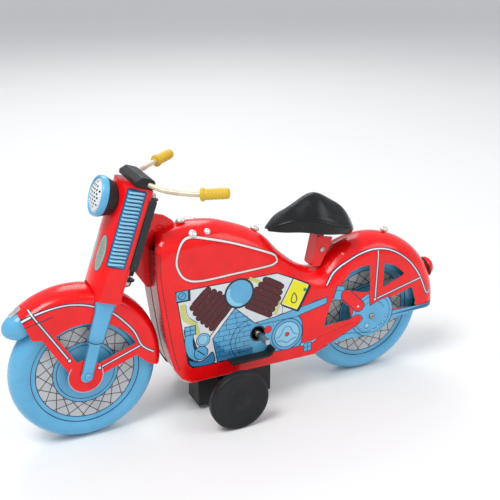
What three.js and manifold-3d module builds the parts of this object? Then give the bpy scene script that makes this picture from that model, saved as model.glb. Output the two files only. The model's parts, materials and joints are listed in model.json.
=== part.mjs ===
// A tin wind-up motorcycle: pressed tin body halves on a clockwork motor, with a steered fork.
// Millimetres, +Z up. The front faces -X and the left side faces -Y.
// The origin is on the ground, at the middle of the toy's length and width.

import * as THREE from "three";
import { mergeVertices } from "three/addons/utils/BufferGeometryUtils.js";
import Module from "manifold-3d";

const wasm = await Module();
wasm.setup();

// ---- driving dimensions ----

const WHEEL_R = 33;
const WHEELBASE = 144.3;
const REAR_X = 67.1; // rear axle, so that the toy's length is centred on the origin
const FRONT_X = REAR_X - WHEELBASE;
const RAKE = THREE.MathUtils.degToRad(19.5); // fork leans back from the vertical
const SHEET = 0.8; // tin sheet
const GAP = 0.3; // between pieces that touch
const SEAM = 0.15; // half of the gap between two pressed halves

// body halves, measured from the rear axle and the ground
const BODY_HALF = 11.4;
const BODY_CROWN = 9;
const FENDER_R = 41;
const BODY_BOTTOM = 18.5;
const BRACKET_HALF = 0.6; // half thickness of the steering bracket

// wheels
const WHEEL_DISC_Y = 4.5;
const TYRE_HALF = 6;
const AXLE_R = 1.2;
const BORE_R = 1.5;

// fork, measured from the front axle along and across the raked axis
const FORK_HALF = 10.6;
const FORK_LOW = 35;
const FORK_HIGH = 87;
const FORK_REAR = 4;
const FORK_FRONT = -9;
const STEER_X = 8.5; // steering axis, behind the fork
const LEG_OUTER = 9.6;
const FENDER_HALF = 8.5;
const FRONT_FENDER_R = 38.4;
const FRONT_FENDER_SHIFT = [-3.2, 2.2]; // fender centre from the front axle

// headlamp, on the fork's front face
const LAMP_HEIGHT = 78;
const LAMP_R = 8.6;

// clockwork: the drive axle is low down, and the winding arbor is in the middle of the engine
const DRIVE_R = 14.4;
const DRIVE_AT = new THREE.Vector2(-80.3, DRIVE_R);
const ARBOR_AT = new THREE.Vector2(-63.3, 37.2);
const WINDING_HOLE_R = 3.3;
const PLATE_Y = 6.5;
const MOTOR_FRONT = -92;
const MOTOR_BACK = -54;
const MOTOR_BOTTOM = 2.3;
const GEAR_MODULE = 1;
const PINION_TEETH = 8;
const INTER_TEETH = 20;
const GREAT_TEETH = 28;

// ---- materials ----

const finish = (color, roughness, metalness) =>
  new THREE.MeshStandardMaterial({ color, roughness, metalness });
const redTin = finish(0xe8141c, 0.22, 0.1);
const blueTin = finish(0x55b3e0, 0.25, 0.1);
const blackTin = finish(0x1c1d1f, 0.35, 0.2);
const bareTin = finish(0xc9c9c4, 0.3, 0.9);
const steel = finish(0x9a9a96, 0.35, 0.95);
const brass = finish(0xb8923f, 0.35, 0.95);
const seatPlastic = finish(0x141516, 0.25, 0);
const tyrePlastic = finish(0x222426, 0.55, 0);
const gripPlastic = finish(0xd8b43a, 0.3, 0.2);
const lensPlastic = finish(0xd9dcdc, 0.3, 0);

// ---- shape helpers ----

/** A Shape or Path through [x, y] points. */
const outline = (points, Kind = THREE.Shape) =>
  new Kind(points.map(([x, y]) => new THREE.Vector2(x, y)));

/** Points along an arc in a plane, with the angles in degrees. */
function arc(cx, cy, radius, fromDeg, toDeg, steps) {
  return Array.from({ length: steps + 1 }, (_, i) => {
    const angle = THREE.MathUtils.degToRad(fromDeg + ((toDeg - fromDeg) * i) / steps);
    return [cx + radius * Math.cos(angle), cy + radius * Math.sin(angle)];
  });
}

/** A flat shape with a thickness and sharp edges. */
const plate = (shape, depth) => new THREE.ExtrudeGeometry(shape, { depth, bevelEnabled: false });

/** A side view shape, drawn in X and Z, with its thickness running from yLow to yHigh. */
const sidePlate = (shape, yLow, yHigh) =>
  plate(shape, yHigh - yLow).rotateX(Math.PI / 2).translate(0, yHigh, 0);

/** A plan view shape, drawn in X and Y, from zLow to zHigh. */
const planPlate = (shape, zLow, zHigh) => plate(shape, zHigh - zLow).translate(0, 0, zLow);

/** A cushion-shaped solid about the XZ plane, full size at y = 0 and smaller by crown at y = half. */
function pillow(points, half, crown, inset, segments) {
  const geometry = new THREE.ExtrudeGeometry(outline(points), {
    depth: 0.02,
    bevelThickness: half,
    bevelSize: crown,
    bevelOffset: -crown - inset,
    bevelSegments: segments,
  });
  return geometry.rotateX(Math.PI / 2).translate(0, 0.01, 0);
}

/** A solid of revolution about Y from [radius, y] points that start and end on the axis. */
const turned = (profile, segments = 32) =>
  new THREE.LatheGeometry(profile.map(([r, y]) => new THREE.Vector2(r, y)), segments);

/** A ring about Y: the closed outline is turned, and its last point meets its first. */
const turnedRing = (profile, segments = 32) => turned([...profile, profile[0]], segments);

/** A plain rod about Y. */
const rod = (radius, yLow, yHigh, segments = 16) =>
  turned([[0, yLow], [radius, yLow], [radius, yHigh], [0, yHigh]], segments);

/** A plain tube about Y. */
const tube = (outer, inner, yLow, yHigh, segments = 20) =>
  turnedRing([[inner, yLow], [outer, yLow], [outer, yHigh], [inner, yHigh]], segments);

/** A closed mesh as a manifold solid. */
function solid(geometry) {
  const bare = geometry.clone();
  bare.deleteAttribute("normal");
  bare.deleteAttribute("uv");
  const merged = mergeVertices(bare, 1e-5);
  return new wasm.Manifold(
    new wasm.Mesh({
      numProp: 3,
      vertProperties: new Float32Array(merged.attributes.position.array),
      triVerts: new Uint32Array(merged.index.array),
    }),
  );
}

/** A manifold solid as a geometry. */
function geometryOf(manifold) {
  const mesh = manifold.getMesh();
  const geometry = new THREE.BufferGeometry();
  geometry.setAttribute("position", new THREE.BufferAttribute(mesh.vertProperties, 3));
  geometry.setIndex(new THREE.BufferAttribute(mesh.triVerts, 1));
  geometry.computeVertexNormals();
  return geometry;
}

/** Joins closed geometries into one. */
const join = (...geometries) =>
  geometryOf(geometries.map(solid).reduce((whole, piece) => whole.add(piece)));

/** Cuts the later geometries out of the first. */
const cut = (first, ...tools) =>
  geometryOf(tools.map(solid).reduce((whole, tool) => whole.subtract(tool), solid(first)));

/** Keeps what two geometries share. */
const common = (first, second) => geometryOf(solid(first).intersect(solid(second)));

/** The mirror image of a geometry across y = 0. */
function mirrored(geometry) {
  const copy = geometry.index ? geometry.toNonIndexed() : geometry.clone();
  const at = copy.attributes.position;
  for (let i = 0; i < at.count; i += 3) {
    const [x, y, z] = [at.getX(i + 1), at.getY(i + 1), at.getZ(i + 1)];
    at.setXYZ(i, at.getX(i), -at.getY(i), at.getZ(i));
    at.setXYZ(i + 1, at.getX(i + 2), -at.getY(i + 2), at.getZ(i + 2));
    at.setXYZ(i + 2, x, -y, z);
  }
  copy.computeVertexNormals();
  return copy;
}

/** A named mesh in a group. */
function place(group, name, geometry, material) {
  const mesh = new THREE.Mesh(geometry, material);
  mesh.name = name;
  group.add(mesh);
  return mesh;
}

/** A box between two corners. */
function block(low, high) {
  const size = high.map((value, i) => value - low[i]);
  const middle = high.map((value, i) => (value + low[i]) / 2);
  return new THREE.BoxGeometry(...size).translate(...middle);
}

const BIG = 200; // larger than the toy
const leftHalfSpace = () => block([-BIG, -BIG, -BIG], [BIG, -SEAM, BIG]);

// ---- body halves ----

// The pressed shape runs past the cut edges, so that the sheet is flat where it is cut.
const bodyPressing = [
  [-116, 8],
  [-116, 84],
  [-109.5, 91.2],
  [-100, 93.2],
  [-91, 94],
  [-80, 92.8],
  [-70, 89.4],
  [-62.5, 86],
  [-55.5, 81.4],
  [-49.5, 74.8],
  [-43.7, 69.2],
  [-37.5, 64.4],
  [-31.5, 61.5],
  [-26.5, 61],
  [-22, 64.8],
  ...arc(0, WHEEL_R, FENDER_R, 115, 0, 14),
  [FENDER_R, 8],
];

const frontEdge = [
  [-104.8, 27],
  [-106.8, 34],
  [-109, 48],
  [-111.6, 70.6],
  [-111.6, 85],
];

const bodyEdge = [
  [-32, BODY_BOTTOM],
  [-97, BODY_BOTTOM],
  [-101.6, 21.5],
  ...frontEdge,
  [-104, 98],
  [50, 98],
  [50, 29.5],
  [12.2, 29],
  [7.8, 25],
  [0, 22.2],
  [-13.3, 23.4],
  [-23.3, 22.8],
];

// The rear wheel shows through these four openings in the fender's side.
const bodyWindows = [
  [[-18.3, 53.9], [-13.3, 59.4], [-7.8, 61.1], [-2.4, 61.1], [-1.7, 47.2], [-4.4, 46.7], [-15.6, 50]],
  [[5.6, 60.6], [12.2, 58.3], [18.3, 52.8], [5.6, 47.8]],
  [[10, 41.1], [23.3, 44.4], [26.7, 35], [26.7, 33.3], [12.2, 34.4], [11.1, 38.3]],
  [[-23.3, 47.2], [-17.8, 45], [-13.3, 40.6], [-12.8, 37.2], [-11.7, 33.9], [-27.8, 33]],
];

function bodyHalf() {
  const outside = pillow(bodyPressing, BODY_HALF, BODY_CROWN, 0, 4);
  const inside = pillow(bodyPressing, BODY_HALF - SHEET, BODY_CROWN - 0.4, SHEET, 4);
  const shell = common(cut(outside, inside), leftHalfSpace());
  const sheet = common(shell, sidePlate(outline(bodyEdge), -BIG, BIG));
  const through = [-BODY_HALF - 1, -BODY_HALF + 3];
  const windows = bodyWindows.map((points) => sidePlate(outline(points), ...through));
  const axleHole = rod(BORE_R, ...through).translate(0, 0, WHEEL_R);
  const arborHole = rod(WINDING_HOLE_R, ...through).translate(ARBOR_AT.x, 0, ARBOR_AT.y);
  const backOfFlange = frontEdge.map(([x, z]) => [x + SHEET, z]).reverse();
  const flange = sidePlate(outline([...frontEdge, ...backOfFlange]), -BODY_HALF + 1.2, -1.2);
  const bracketSlot = block([-120, -BRACKET_HALF - GAP, 60], [-98.8, BRACKET_HALF + GAP, 102]);
  return join(cut(sheet, ...windows, axleHole, arborHole, bracketSlot), flange);
}

/** A folded tab of bare tin over the seam, at a point of the seam and along its slope. */
function seamTab(x, z, slope) {
  const tab = new THREE.SphereGeometry(1, 10, 6).scale(2.1, 1.5, 0.8);
  return tab.rotateY(-slope).translate(x, 0, z + 1.3);
}

// On the tank, under the saddle's nose and on the fender.
const seamTabs = [
  ["tank", -96, 93.6, 0.1],
  ["saddle", -59.6, 84.2, -0.5],
  ["fender", 12.2, 72.2, -0.3],
];

/** A small cap on the left shoulder of the tank. */
function tankCap(x, radius) {
  const cap = turned([[0, 0], [radius, 0], [radius, 0.5], [radius * 0.6, 1.1], [0, 1.3]], 14);
  return cap.rotateX(THREE.MathUtils.degToRad(134)).translate(x, -8.6, 91.2);
}

const tankCaps = [
  ["large", -93.7, 1.9],
  ["small", -86.9, 1.5],
];

// ---- saddle ----

const SEAT_NOSE_X = -56;
const SEAT_TAIL_X = -9;

/** Half widths, skirt heights and crest heights of the saddle, from nose to tail. */
const saddleSections = [
  [0, 5, 83.6, 86.6],
  [0.06, 9, 83.3, 90],
  [0.2, 11, 83, 92],
  [0.37, 12, 82.6, 94.4],
  [0.52, 12.6, 81.4, 97.8],
  [0.62, 12.8, 80.4, 98.4],
  [0.76, 12.2, 79, 95.6],
  [0.92, 9.6, 77.8, 88.4],
  [1, 5, 77.2, 83],
];

/** A closed solid lofted through the saddle's sections, with a domed top and a flat underside. */
function saddle() {
  const around = 10;
  const rings = saddleSections.map(([t, half, low, high]) => {
    const x = THREE.MathUtils.lerp(SEAT_NOSE_X, SEAT_TAIL_X, t);
    const skirt = low + (high - low) * 0.45;
    const dome = Array.from({ length: around + 1 }, (_, i) => {
      const angle = (Math.PI * i) / around;
      return [x, -half * Math.cos(angle), skirt + (high - skirt) * Math.sin(angle)];
    });
    return [[x, -half, low], ...dome, [x, half, low]];
  });
  const positions = rings.flat(2);
  const count = rings[0].length;
  const faces = [];
  for (let i = 0; i + 1 < rings.length; i += 1) {
    for (let j = 0; j < count; j += 1) {
      const a = i * count + j;
      const b = i * count + ((j + 1) % count);
      faces.push(a, a + count, b, b, a + count, b + count);
    }
  }
  for (let j = 1; j + 1 < count; j += 1) {
    const last = (rings.length - 1) * count;
    faces.push(0, j, j + 1, last, last + j + 1, last + j);
  }
  const geometry = new THREE.BufferGeometry();
  geometry.setAttribute("position", new THREE.Float32BufferAttribute(positions, 3));
  geometry.setIndex(faces);
  geometry.computeVertexNormals();
  return geometry;
}

/** A tin channel that leans back from the valley in the body up to the saddle. */
function seatPost() {
  const half = 4;
  const side = outline([[-31, 62.6], [-26.4, 62], [-19.8, 76], [-27.8, 77.6]]);
  const inside = outline([[-29.6, 60], [-24.4, 60], [-17.6, 79], [-26.4, 79]]);
  return cut(sidePlate(side, -half, half), sidePlate(inside, -half + SHEET, half - SHEET));
}

// ---- other fixed pieces of the body ----

const steeringPlate = [
  [-109.6, 100.4],
  [-103.6, 98.6],
  [-99.4, 95.4],
  [-99.4, 66],
  [-113, 66],
  [-119.4, 76.2],
];

/** A lug between the body halves, rolled round the steering pin. */
function steeringBracket() {
  const plate = sidePlate(outline(steeringPlate), -BRACKET_HALF, BRACKET_HALF).translate(REAR_X, 0, 0);
  const knuckle = tube(2.1, AXLE_R, 0, 34, 14).rotateX(Math.PI / 2);
  const bore = rod(AXLE_R, -1, 35, 14).rotateX(Math.PI / 2);
  const onAxis = (geometry) =>
    geometry.translate(STEER_X, 0, 46).rotateY(RAKE).translate(FRONT_X, 0, WHEEL_R);
  return join(cut(plate, onAxis(bore)), onAxis(knuckle));
}

/** A tail lamp that stands on the fender's crest. */
function tailLamp() {
  const up = THREE.MathUtils.degToRad(22);
  const reach = FENDER_R + 0.4;
  const lamp = new THREE.SphereGeometry(1, 16, 10).scale(4.6, 4.8, 5.4).rotateY(-up);
  const placed = lamp.translate(reach * Math.cos(up), 0, WHEEL_R + reach * Math.sin(up));
  return cut(placed, rod(FENDER_R + GAP, -20, 20, 96).translate(0, 0, WHEEL_R));
}

/** A board for the rider's foot, turned up at its rear end. */
function footboard() {
  const side = [[-79, 26.4], [-60, 26.4], [-56.4, 30], [-57.4, 30.8], [-60.6, 27.6], [-79, 27.6]];
  return sidePlate(outline(side), -17, -BODY_HALF - GAP);
}

/** An axle about Y whose ends are clinched at a distance from the middle. */
const clinchedAxle = (reach) =>
  turned(
    [
      [0, -reach - 0.9],
      [1.1, -reach - 0.8],
      [1.9, -reach],
      [AXLE_R, -reach],
      [AXLE_R, reach],
      [1.9, reach],
      [1.1, reach + 0.8],
      [0, reach + 0.9],
    ],
    16,
  );

// ---- wheels ----

/** The left one of two pressed tin discs, crowned at the rim to make half of a tyre. */
function wheelHalf() {
  return turnedRing(
    [
      [BORE_R, -WHEEL_DISC_Y],
      [23.6, -WHEEL_DISC_Y],
      [25.4, -5.5],
      [28, -TYRE_HALF],
      [30.6, -5.2],
      [32.4, -3.2],
      [WHEEL_R, -SEAM],
      [WHEEL_R - SHEET, -SEAM],
      [31.6, -2.9],
      [30, -4.5],
      [28, -5.2],
      [25.9, -4.8],
      [24, -3.7],
      [BORE_R, -3.7],
    ],
    30,
  );
}

/** A moulded drive wheel: solid, with rounded shoulders and a dimple round its axle. */
function driveWheel() {
  const outer = -29.5;
  const inner = -24.6;
  return turnedRing(
    [
      [BORE_R, inner - 1.4],
      [BORE_R, outer + 1],
      [2.6, outer + 0.3],
      [DRIVE_R - 1.6, outer],
      [DRIVE_R - 0.4, outer + 0.7],
      [DRIVE_R, outer + 2],
      [DRIVE_R, inner - 0.8],
      [DRIVE_R - 1, inner],
      [4, inner],
      [4, inner + 5],
      [BORE_R, inner + 5],
    ],
    28,
  );
}

// ---- clockwork ----

/** A gear about Y with straight-sided teeth, one of which points along angle. */
function gear(teeth, angle, bore, yLow, yHigh) {
  const pitchR = (teeth * GEAR_MODULE) / 2;
  const tipR = pitchR + 0.75 * GEAR_MODULE;
  const rootR = pitchR - 1.05 * GEAR_MODULE;
  const pitch = (2 * Math.PI) / teeth;
  const corners = [
    [rootR, -0.27],
    [tipR, -0.1],
    [tipR, 0.1],
    [rootR, 0.27],
  ];
  const points = [];
  for (let i = 0; i < teeth; i += 1) {
    for (const [radius, share] of corners) {
      const at = angle + (i + share) * pitch;
      points.push([radius * Math.cos(at), radius * Math.sin(at)]);
    }
  }
  const shape = outline(points);
  shape.holes.push(outline(arc(0, 0, bore, 360, 15, 23), THREE.Path));
  return sidePlate(shape, yLow, yHigh);
}

const centreDistance = (a, b) => ((a + b) * GEAR_MODULE) / 2;

/** Where the intermediate arbor sits, so that its gear and its pinion both mesh. */
function intermediateAt() {
  const toDrive = centreDistance(PINION_TEETH, INTER_TEETH);
  const toGreat = centreDistance(PINION_TEETH, GREAT_TEETH);
  const along = ARBOR_AT.clone().sub(DRIVE_AT);
  const span = along.length();
  const reach = (toDrive ** 2 - toGreat ** 2 + span ** 2) / (2 * span);
  const offset = Math.sqrt(toDrive ** 2 - reach ** 2);
  const unit = along.normalize();
  const across = new THREE.Vector2(-unit.y, unit.x);
  return DRIVE_AT.clone().addScaledVector(unit, reach).addScaledVector(across, offset);
}

const INTER_AT = intermediateAt();
const heading = (from, to) => Math.atan2(to.y - from.y, to.x - from.x);
const gapTowards = (from, to, teeth) => heading(from, to) + Math.PI / teeth;

/** A plate of the motor, with holes for its arbors and its axle. */
function motorPlate() {
  const shape = outline([
    [MOTOR_FRONT, MOTOR_BOTTOM],
    [MOTOR_BACK, MOTOR_BOTTOM],
    [MOTOR_BACK, 24],
    [-47.4, 28],
    [-47.4, 53],
    [-89, 53],
    [MOTOR_FRONT, 50],
  ]);
  const holes = [
    [ARBOR_AT, 1.8],
    [INTER_AT, 1.3],
    [DRIVE_AT, BORE_R],
  ];
  for (const [at, radius] of holes) {
    shape.holes.push(outline(arc(at.x, at.y, radius, 360, 20, 17), THREE.Path));
  }
  return sidePlate(shape, -PLATE_Y, -PLATE_Y + SHEET);
}

/** The channel that closes the motor in front, below and behind. */
function motorCover() {
  const edge = (inset) => [
    [MOTOR_FRONT + inset, 24],
    [MOTOR_FRONT + inset, MOTOR_BOTTOM + inset],
    [MOTOR_BACK - inset, MOTOR_BOTTOM + inset],
    [MOTOR_BACK - inset, 22],
  ];
  const reach = PLATE_Y - SHEET - GAP;
  return sidePlate(outline([...edge(0), ...edge(SHEET).reverse()]), -reach, reach);
}

/** A spacer between the motor's plates. */
const motorPillar = () => rod(1.4, -PLATE_Y + SHEET + GAP, PLATE_Y - SHEET - GAP, 12);

const pillarPlaces = [
  [-88.4, 48.6],
  [-50.4, 50.2],
  [-58.4, 7],
  [-88, 6.6],
];

const SPRING_INNER = 2.6;
const SPRING_TURNS = 5;
const SPRING_PITCH = 1.75;

/** The mainspring: a flat strip wound in a spiral round the arbor. */
function mainspring() {
  const steps = SPRING_TURNS * 12;
  const side = (offset) =>
    Array.from({ length: steps + 1 }, (_, i) => {
      const turns = (i * SPRING_TURNS) / steps;
      const radius = SPRING_INNER + SPRING_PITCH * turns + offset;
      return [radius * Math.cos(turns * 2 * Math.PI), radius * Math.sin(turns * 2 * Math.PI)];
    });
  return sidePlate(outline([...side(0), ...side(0.4).reverse()]), 0.8, 5.2);
}

/** The winding shaft, with a squared end for the key. */
function windingArbor() {
  const shaft = rod(1.5, -12.6, 5.6);
  const square = block([-1.15, -22, -1.15], [1.15, -12.2, 1.15]);
  return join(shaft, square);
}

/** A saw-toothed wheel that the click holds. */
function ratchetWheel() {
  const teeth = 10;
  const points = [];
  for (let i = 0; i < teeth; i += 1) {
    const start = (2 * Math.PI * i) / teeth;
    const end = (2 * Math.PI * (i + 0.92)) / teeth;
    points.push([3.6 * Math.cos(start), 3.6 * Math.sin(start)]);
    points.push([5 * Math.cos(end), 5 * Math.sin(end)]);
  }
  const shape = outline(points);
  shape.holes.push(outline(arc(0, 0, 1.8, 360, 20, 17), THREE.Path));
  return sidePlate(shape, -3.9, -2.9);
}

/** The click: a sprung arm riveted to the great wheel, with its nose just clear of the ratchet. */
function click() {
  const arm = outline([[5.4, -1.2], [6.6, -1.6], [9.8, 5.4], [8.6, 6.4]]);
  const pivot = rod(1.4, -3.9, -2.9, 12).translate(9, 0, 5.6);
  return join(sidePlate(arm, -3.8, -3.1), pivot);
}

// ---- fork, drawn upright and leaned back with the whole group ----

/** One outline of the fork housing in plan: straight sides and an oval front, inset by a wall. */
function forkPlan(wall) {
  const half = FORK_HALF - wall;
  const shoulder = -4;
  const front = Array.from({ length: 9 }, (_, i) => {
    const angle = (Math.PI * i) / 8;
    return [shoulder + (FORK_FRONT + wall - shoulder) * Math.sin(angle), half * Math.cos(angle)];
  });
  return [...front, [FORK_REAR + (wall ? 5 : 0), -half], [FORK_REAR + (wall ? 5 : 0), half]];
}

/** A crosswise web in the fork with an ear that the steering pin goes through. */
function steeringWeb(height) {
  const half = FORK_HALF - SHEET + 0.2;
  const ear = 3.2;
  const plan = [
    [-5, -half],
    [3.2, -half],
    [5.5, -ear],
    [STEER_X, -ear],
    [STEER_X + ear, 0],
    [STEER_X, ear],
    [5.5, ear],
    [3.2, half],
    [-5, half],
  ];
  const web = planPlate(outline(plan), height, height + SHEET);
  const hole = rod(AXLE_R, -5, 5, 14).rotateX(Math.PI / 2).translate(STEER_X, 0, height);
  return cut(web, hole);
}

function forkHousing() {
  const outside = planPlate(outline(forkPlan(0)), FORK_LOW, FORK_HIGH);
  const inside = planPlate(outline(forkPlan(SHEET)), FORK_LOW - 1, FORK_HIGH + 1);
  const fenderSpace = fenderPillow(FRONT_FENDER_R + GAP, FENDER_HALF + GAP, 0).rotateY(-RAKE);
  return join(cut(outside, inside, fenderSpace), steeringWeb(43.6), steeringWeb(81.2));
}

const LEG_CENTRE = -0.8;

/** A fork leg: a strip that is round at the axle and widens upward, with a tongue inside the housing. */
function forkLeg() {
  const foot = arc(LEG_CENTRE, 0, 3.3, 200, 340, 6);
  const top = FORK_LOW - GAP;
  const side = outline([...foot, [3, top], [2.6, top], [2.6, 40], [-3.4, 40], [-3.4, top], [-6.6, top]]);
  side.holes.push(outline(arc(0, 0, BORE_R, 360, 24, 14), THREE.Path));
  return sidePlate(side, -LEG_OUTER, -LEG_OUTER + SHEET);
}

/** The steering pin, through both ears of the fork and the bracket's knuckle. */
function steeringPin() {
  const pin = turned(
    [[0, 40.6], [2, 40.9], [2.2, 43.1], [0.9, 43.2], [0.9, 82.3], [1.8, 82.3], [1.8, 83.4], [0, 84]],
    14,
  );
  return pin.rotateX(Math.PI / 2).translate(STEER_X, 0, 0);
}

/** Turns a headlamp piece drawn about Y to face forward, and lifts it into place. */
const faceForward = (geometry) => geometry.rotateZ(Math.PI / 2).translate(0, 0, LAMP_HEIGHT);

function headlampBucket() {
  const bucket = turnedRing(
    [
      [0.4, 4],
      [5.6, 4],
      [7.4, 7.5],
      [LAMP_R - 0.2, 12.6],
      [LAMP_R - 1, 12.6],
      [6.6, 7.8],
      [5, 4.8],
      [0.4, 4.8],
    ],
    24,
  );
  const fork = planPlate(outline(forkPlan(-GAP)), FORK_LOW, FORK_HIGH + 5);
  return cut(faceForward(bucket), fork);
}

function headlampRim() {
  const inner = 7.2;
  const profile = [
    [inner, 13],
    [LAMP_R, 13],
    [LAMP_R + 0.2, 15.2],
    [LAMP_R - 0.9, 16.2],
    [inner, 15.2],
  ];
  return faceForward(turnedRing(profile, 24));
}

const headlampLens = () =>
  faceForward(turned([[0, 13.4], [6.9, 13.4], [6.9, 15.4], [4.6, 16.4], [0, 16.9]], 24));

/** The folded tin clamp that caps the fork and holds the handlebar. */
function handlebarClamp() {
  const outside = [[4, 87.4], [4, 91.6], [2.6, 93], [-3.6, 93], [-5, 91.6], [-5, 87.4]];
  const inside = [[3.2, 86.4], [3.2, 91.2], [2.2, 92.2], [-3.2, 92.2], [-4.2, 91.2], [-4.2, 86.4]];
  const half = 11.6;
  const channel = cut(
    sidePlate(outline(outside), -half, half),
    sidePlate(outline(inside), -half + SHEET, half - SHEET),
  );
  const barOpenings = [-half, half].map((end) => block([-2.4, end - 2, 86], [5, end + 2, 91.2]));
  return cut(channel, ...barOpenings);
}

// handlebar: swept back and out, in the upright frame's own axes
const barEnd = new THREE.Vector3(25.9, 32.5, 97.2);
const barPoints = [
  new THREE.Vector3(0, 0, 89.4),
  new THREE.Vector3(0.4, 8.6, 89.2),
  new THREE.Vector3(7, 16.9, 89.4),
  new THREE.Vector3(17.9, 27.1, 93.6),
  barEnd,
];

function handlebar() {
  const right = barPoints.slice(1);
  const left = right.map((p) => new THREE.Vector3(p.x, -p.y, p.z)).reverse();
  const path = new THREE.CatmullRomCurve3([...left, barPoints[0], ...right], false, "catmullrom", 0.4);
  const section = outline(arc(0, 0, 1.1, 0, 315, 7));
  return new THREE.ExtrudeGeometry(section, { steps: 22, bevelEnabled: false, extrudePath: path });
}

const GRIP_LENGTH = 12;

/** A moulded grip with a collar at its inner end, slid over the end of the handlebar. */
function grip(side) {
  const shape = turnedRing(
    [
      [1.4, 0],
      [2.8, 0],
      [2.8, 1.6],
      [2.2, 1.9],
      [2.4, GRIP_LENGTH - 1.4],
      [1.7, GRIP_LENGTH - 0.2],
      [0.5, GRIP_LENGTH],
      [0.5, GRIP_LENGTH - 1],
      [1.4, GRIP_LENGTH - 1],
    ],
    16,
  );
  const inner = barPoints[3];
  const along = barEnd.clone().sub(inner).normalize();
  const turn = new THREE.Quaternion().setFromUnitVectors(new THREE.Vector3(0, 1, 0), along);
  const start = inner.clone().addScaledVector(along, 0.2);
  const placed = shape.applyQuaternion(turn).translate(start.x, start.y, start.z);
  return side > 0 ? placed : mirrored(placed);
}

// ---- front fender, drawn about the axle in world directions ----

// The nose is cut off along a slanted line, where the lamp closes it.
const NOSE_POINT = new THREE.Vector2(-24.6, 28);
const NOSE_ALONG = new THREE.Vector2(-0.36, 0.933);

/** A point of the nose line, at a distance from its middle. */
const onNose = (distance) => NOSE_POINT.clone().addScaledVector(NOSE_ALONG, distance).toArray();

/** The fender's edge in side view: a band over the wheel that ends in a rounded tail. */
const fenderBand = [
  onNose(16),
  ...arc(0, 0, 44, 118, 12, 12),
  [38, 4],
  [35.4, -0.6],
  [32, -2],
  [26.6, 1],
  [21, 6.6],
  ...arc(0, 0, 25.2, 24, 126, 10),
  onNose(-6.6),
];

/** The cushion shape that the front fender is pressed to, about the front axle. */
function fenderPillow(radius, half, inset) {
  const [sx, sz] = FRONT_FENDER_SHIFT;
  return pillow(arc(sx, sz, radius, 0, 350, 35), half, 4.6 - inset / 4, inset, 3);
}

/** A straight stay from one point to another in side view. */
function stay(from, to, width) {
  const a = new THREE.Vector2(...from);
  const b = new THREE.Vector2(...to);
  const side = b.clone().sub(a).normalize().multiplyScalar(width / 2);
  return outline([
    [a.x + side.y, a.y - side.x],
    [b.x + side.y, b.y - side.x],
    [b.x - side.y, b.y + side.x],
    [a.x - side.y, a.y + side.x],
  ]);
}

function frontFenderHalf() {
  const outside = fenderPillow(FRONT_FENDER_R, FENDER_HALF, 0);
  const inside = fenderPillow(FRONT_FENDER_R, FENDER_HALF - SHEET, SHEET);
  const shell = common(cut(outside, inside), leftHalfSpace());
  const reach = [-FENDER_HALF, -FENDER_HALF + SHEET];
  const band = common(shell, sidePlate(outline(fenderBand), -BIG, BIG));
  const ring = sidePlate(outline(arc(-1, 0, 8, 0, 345, 23)), ...reach);
  const stays = [
    stay([-6.4, 5], [-20, 30], 5),
    stay([5, 2], [26, 9.4], 5.4),
  ].map((shape) => sidePlate(shape, ...reach));
  const bore = rod(BORE_R, -FENDER_HALF - 1, -FENDER_HALF + 3);
  return cut(join(band, ring, ...stays), bore);
}

/** A bullet lamp that closes the fender's nose. */
function fenderLamp() {
  const profile = [[0, -4], [6.8, -4], [6.8, 0.4], [6.1, 3.6], [4.2, 7], [2, 8.7], [0, 9.2]];
  const droop = THREE.MathUtils.degToRad(-14);
  const lamp = turned(profile, 20).rotateZ(Math.PI / 2).rotateY(droop).translate(-24, 0, 27.4);
  const lean = Math.atan2(-NOSE_ALONG.x, NOSE_ALONG.y);
  const behind = block([-GAP, -12, -20], [20, 12, 20]).rotateY(-lean);
  const tyreSpace = rod(WHEEL_R + 2 * GAP, -TYRE_HALF - GAP, TYRE_HALF + GAP, 60);
  return cut(lamp, behind.translate(NOSE_POINT.x, 0, NOSE_POINT.y), tyreSpace);
}

// ---- assembly ----

const motorcycle = new THREE.Group();

const body = new THREE.Group();
body.position.x = REAR_X;
motorcycle.add(body);

const bodyLeft = bodyHalf();
place(body, "body_shell_left", bodyLeft, redTin);
place(body, "body_shell_right", mirrored(bodyLeft), redTin);
for (const [name, ...at] of seamTabs) {
  place(body, `seam_tab_${name}`, seamTab(...at), bareTin);
}
for (const [name, ...size] of tankCaps) {
  place(body, `tank_cap_${name}_left`, tankCap(...size), bareTin);
  place(body, `tank_cap_${name}_right`, mirrored(tankCap(...size)), bareTin);
}
place(body, "seat", saddle(), seatPlastic);
place(body, "seat_post", seatPost(), redTin);
place(body, "tail_lamp", tailLamp(), redTin);
place(body, "footboard_left", footboard(), blackTin);
place(body, "footboard_right", mirrored(footboard()), blackTin);
place(body, "rear_axle", clinchedAxle(BODY_HALF + GAP).translate(0, 0, WHEEL_R), steel);
place(motorcycle, "steering_bracket", steeringBracket(), redTin);

const motorLeft = motorPlate();
place(body, "motor_plate_left", motorLeft, blackTin);
place(body, "motor_plate_right", mirrored(motorLeft), blackTin);
place(body, "motor_cover", motorCover(), blackTin);
pillarPlaces.forEach(([x, z], i) => {
  place(body, `motor_pillar_${i + 1}`, motorPillar().translate(x, 0, z), steel);
});
place(body, "mainspring", mainspring().translate(ARBOR_AT.x, 0, ARBOR_AT.y), steel);

const winding = new THREE.Group();
winding.position.set(ARBOR_AT.x, 0, ARBOR_AT.y);
body.add(winding);
place(winding, "winding_arbor", windingArbor(), steel);
place(winding, "ratchet_wheel", ratchetWheel(), brass);
place(
  winding,
  "great_wheel",
  gear(GREAT_TEETH, gapTowards(ARBOR_AT, INTER_AT, GREAT_TEETH), 1.8, -5.3, -4.1),
  brass,
);
place(winding, "click", click(), steel);

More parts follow.
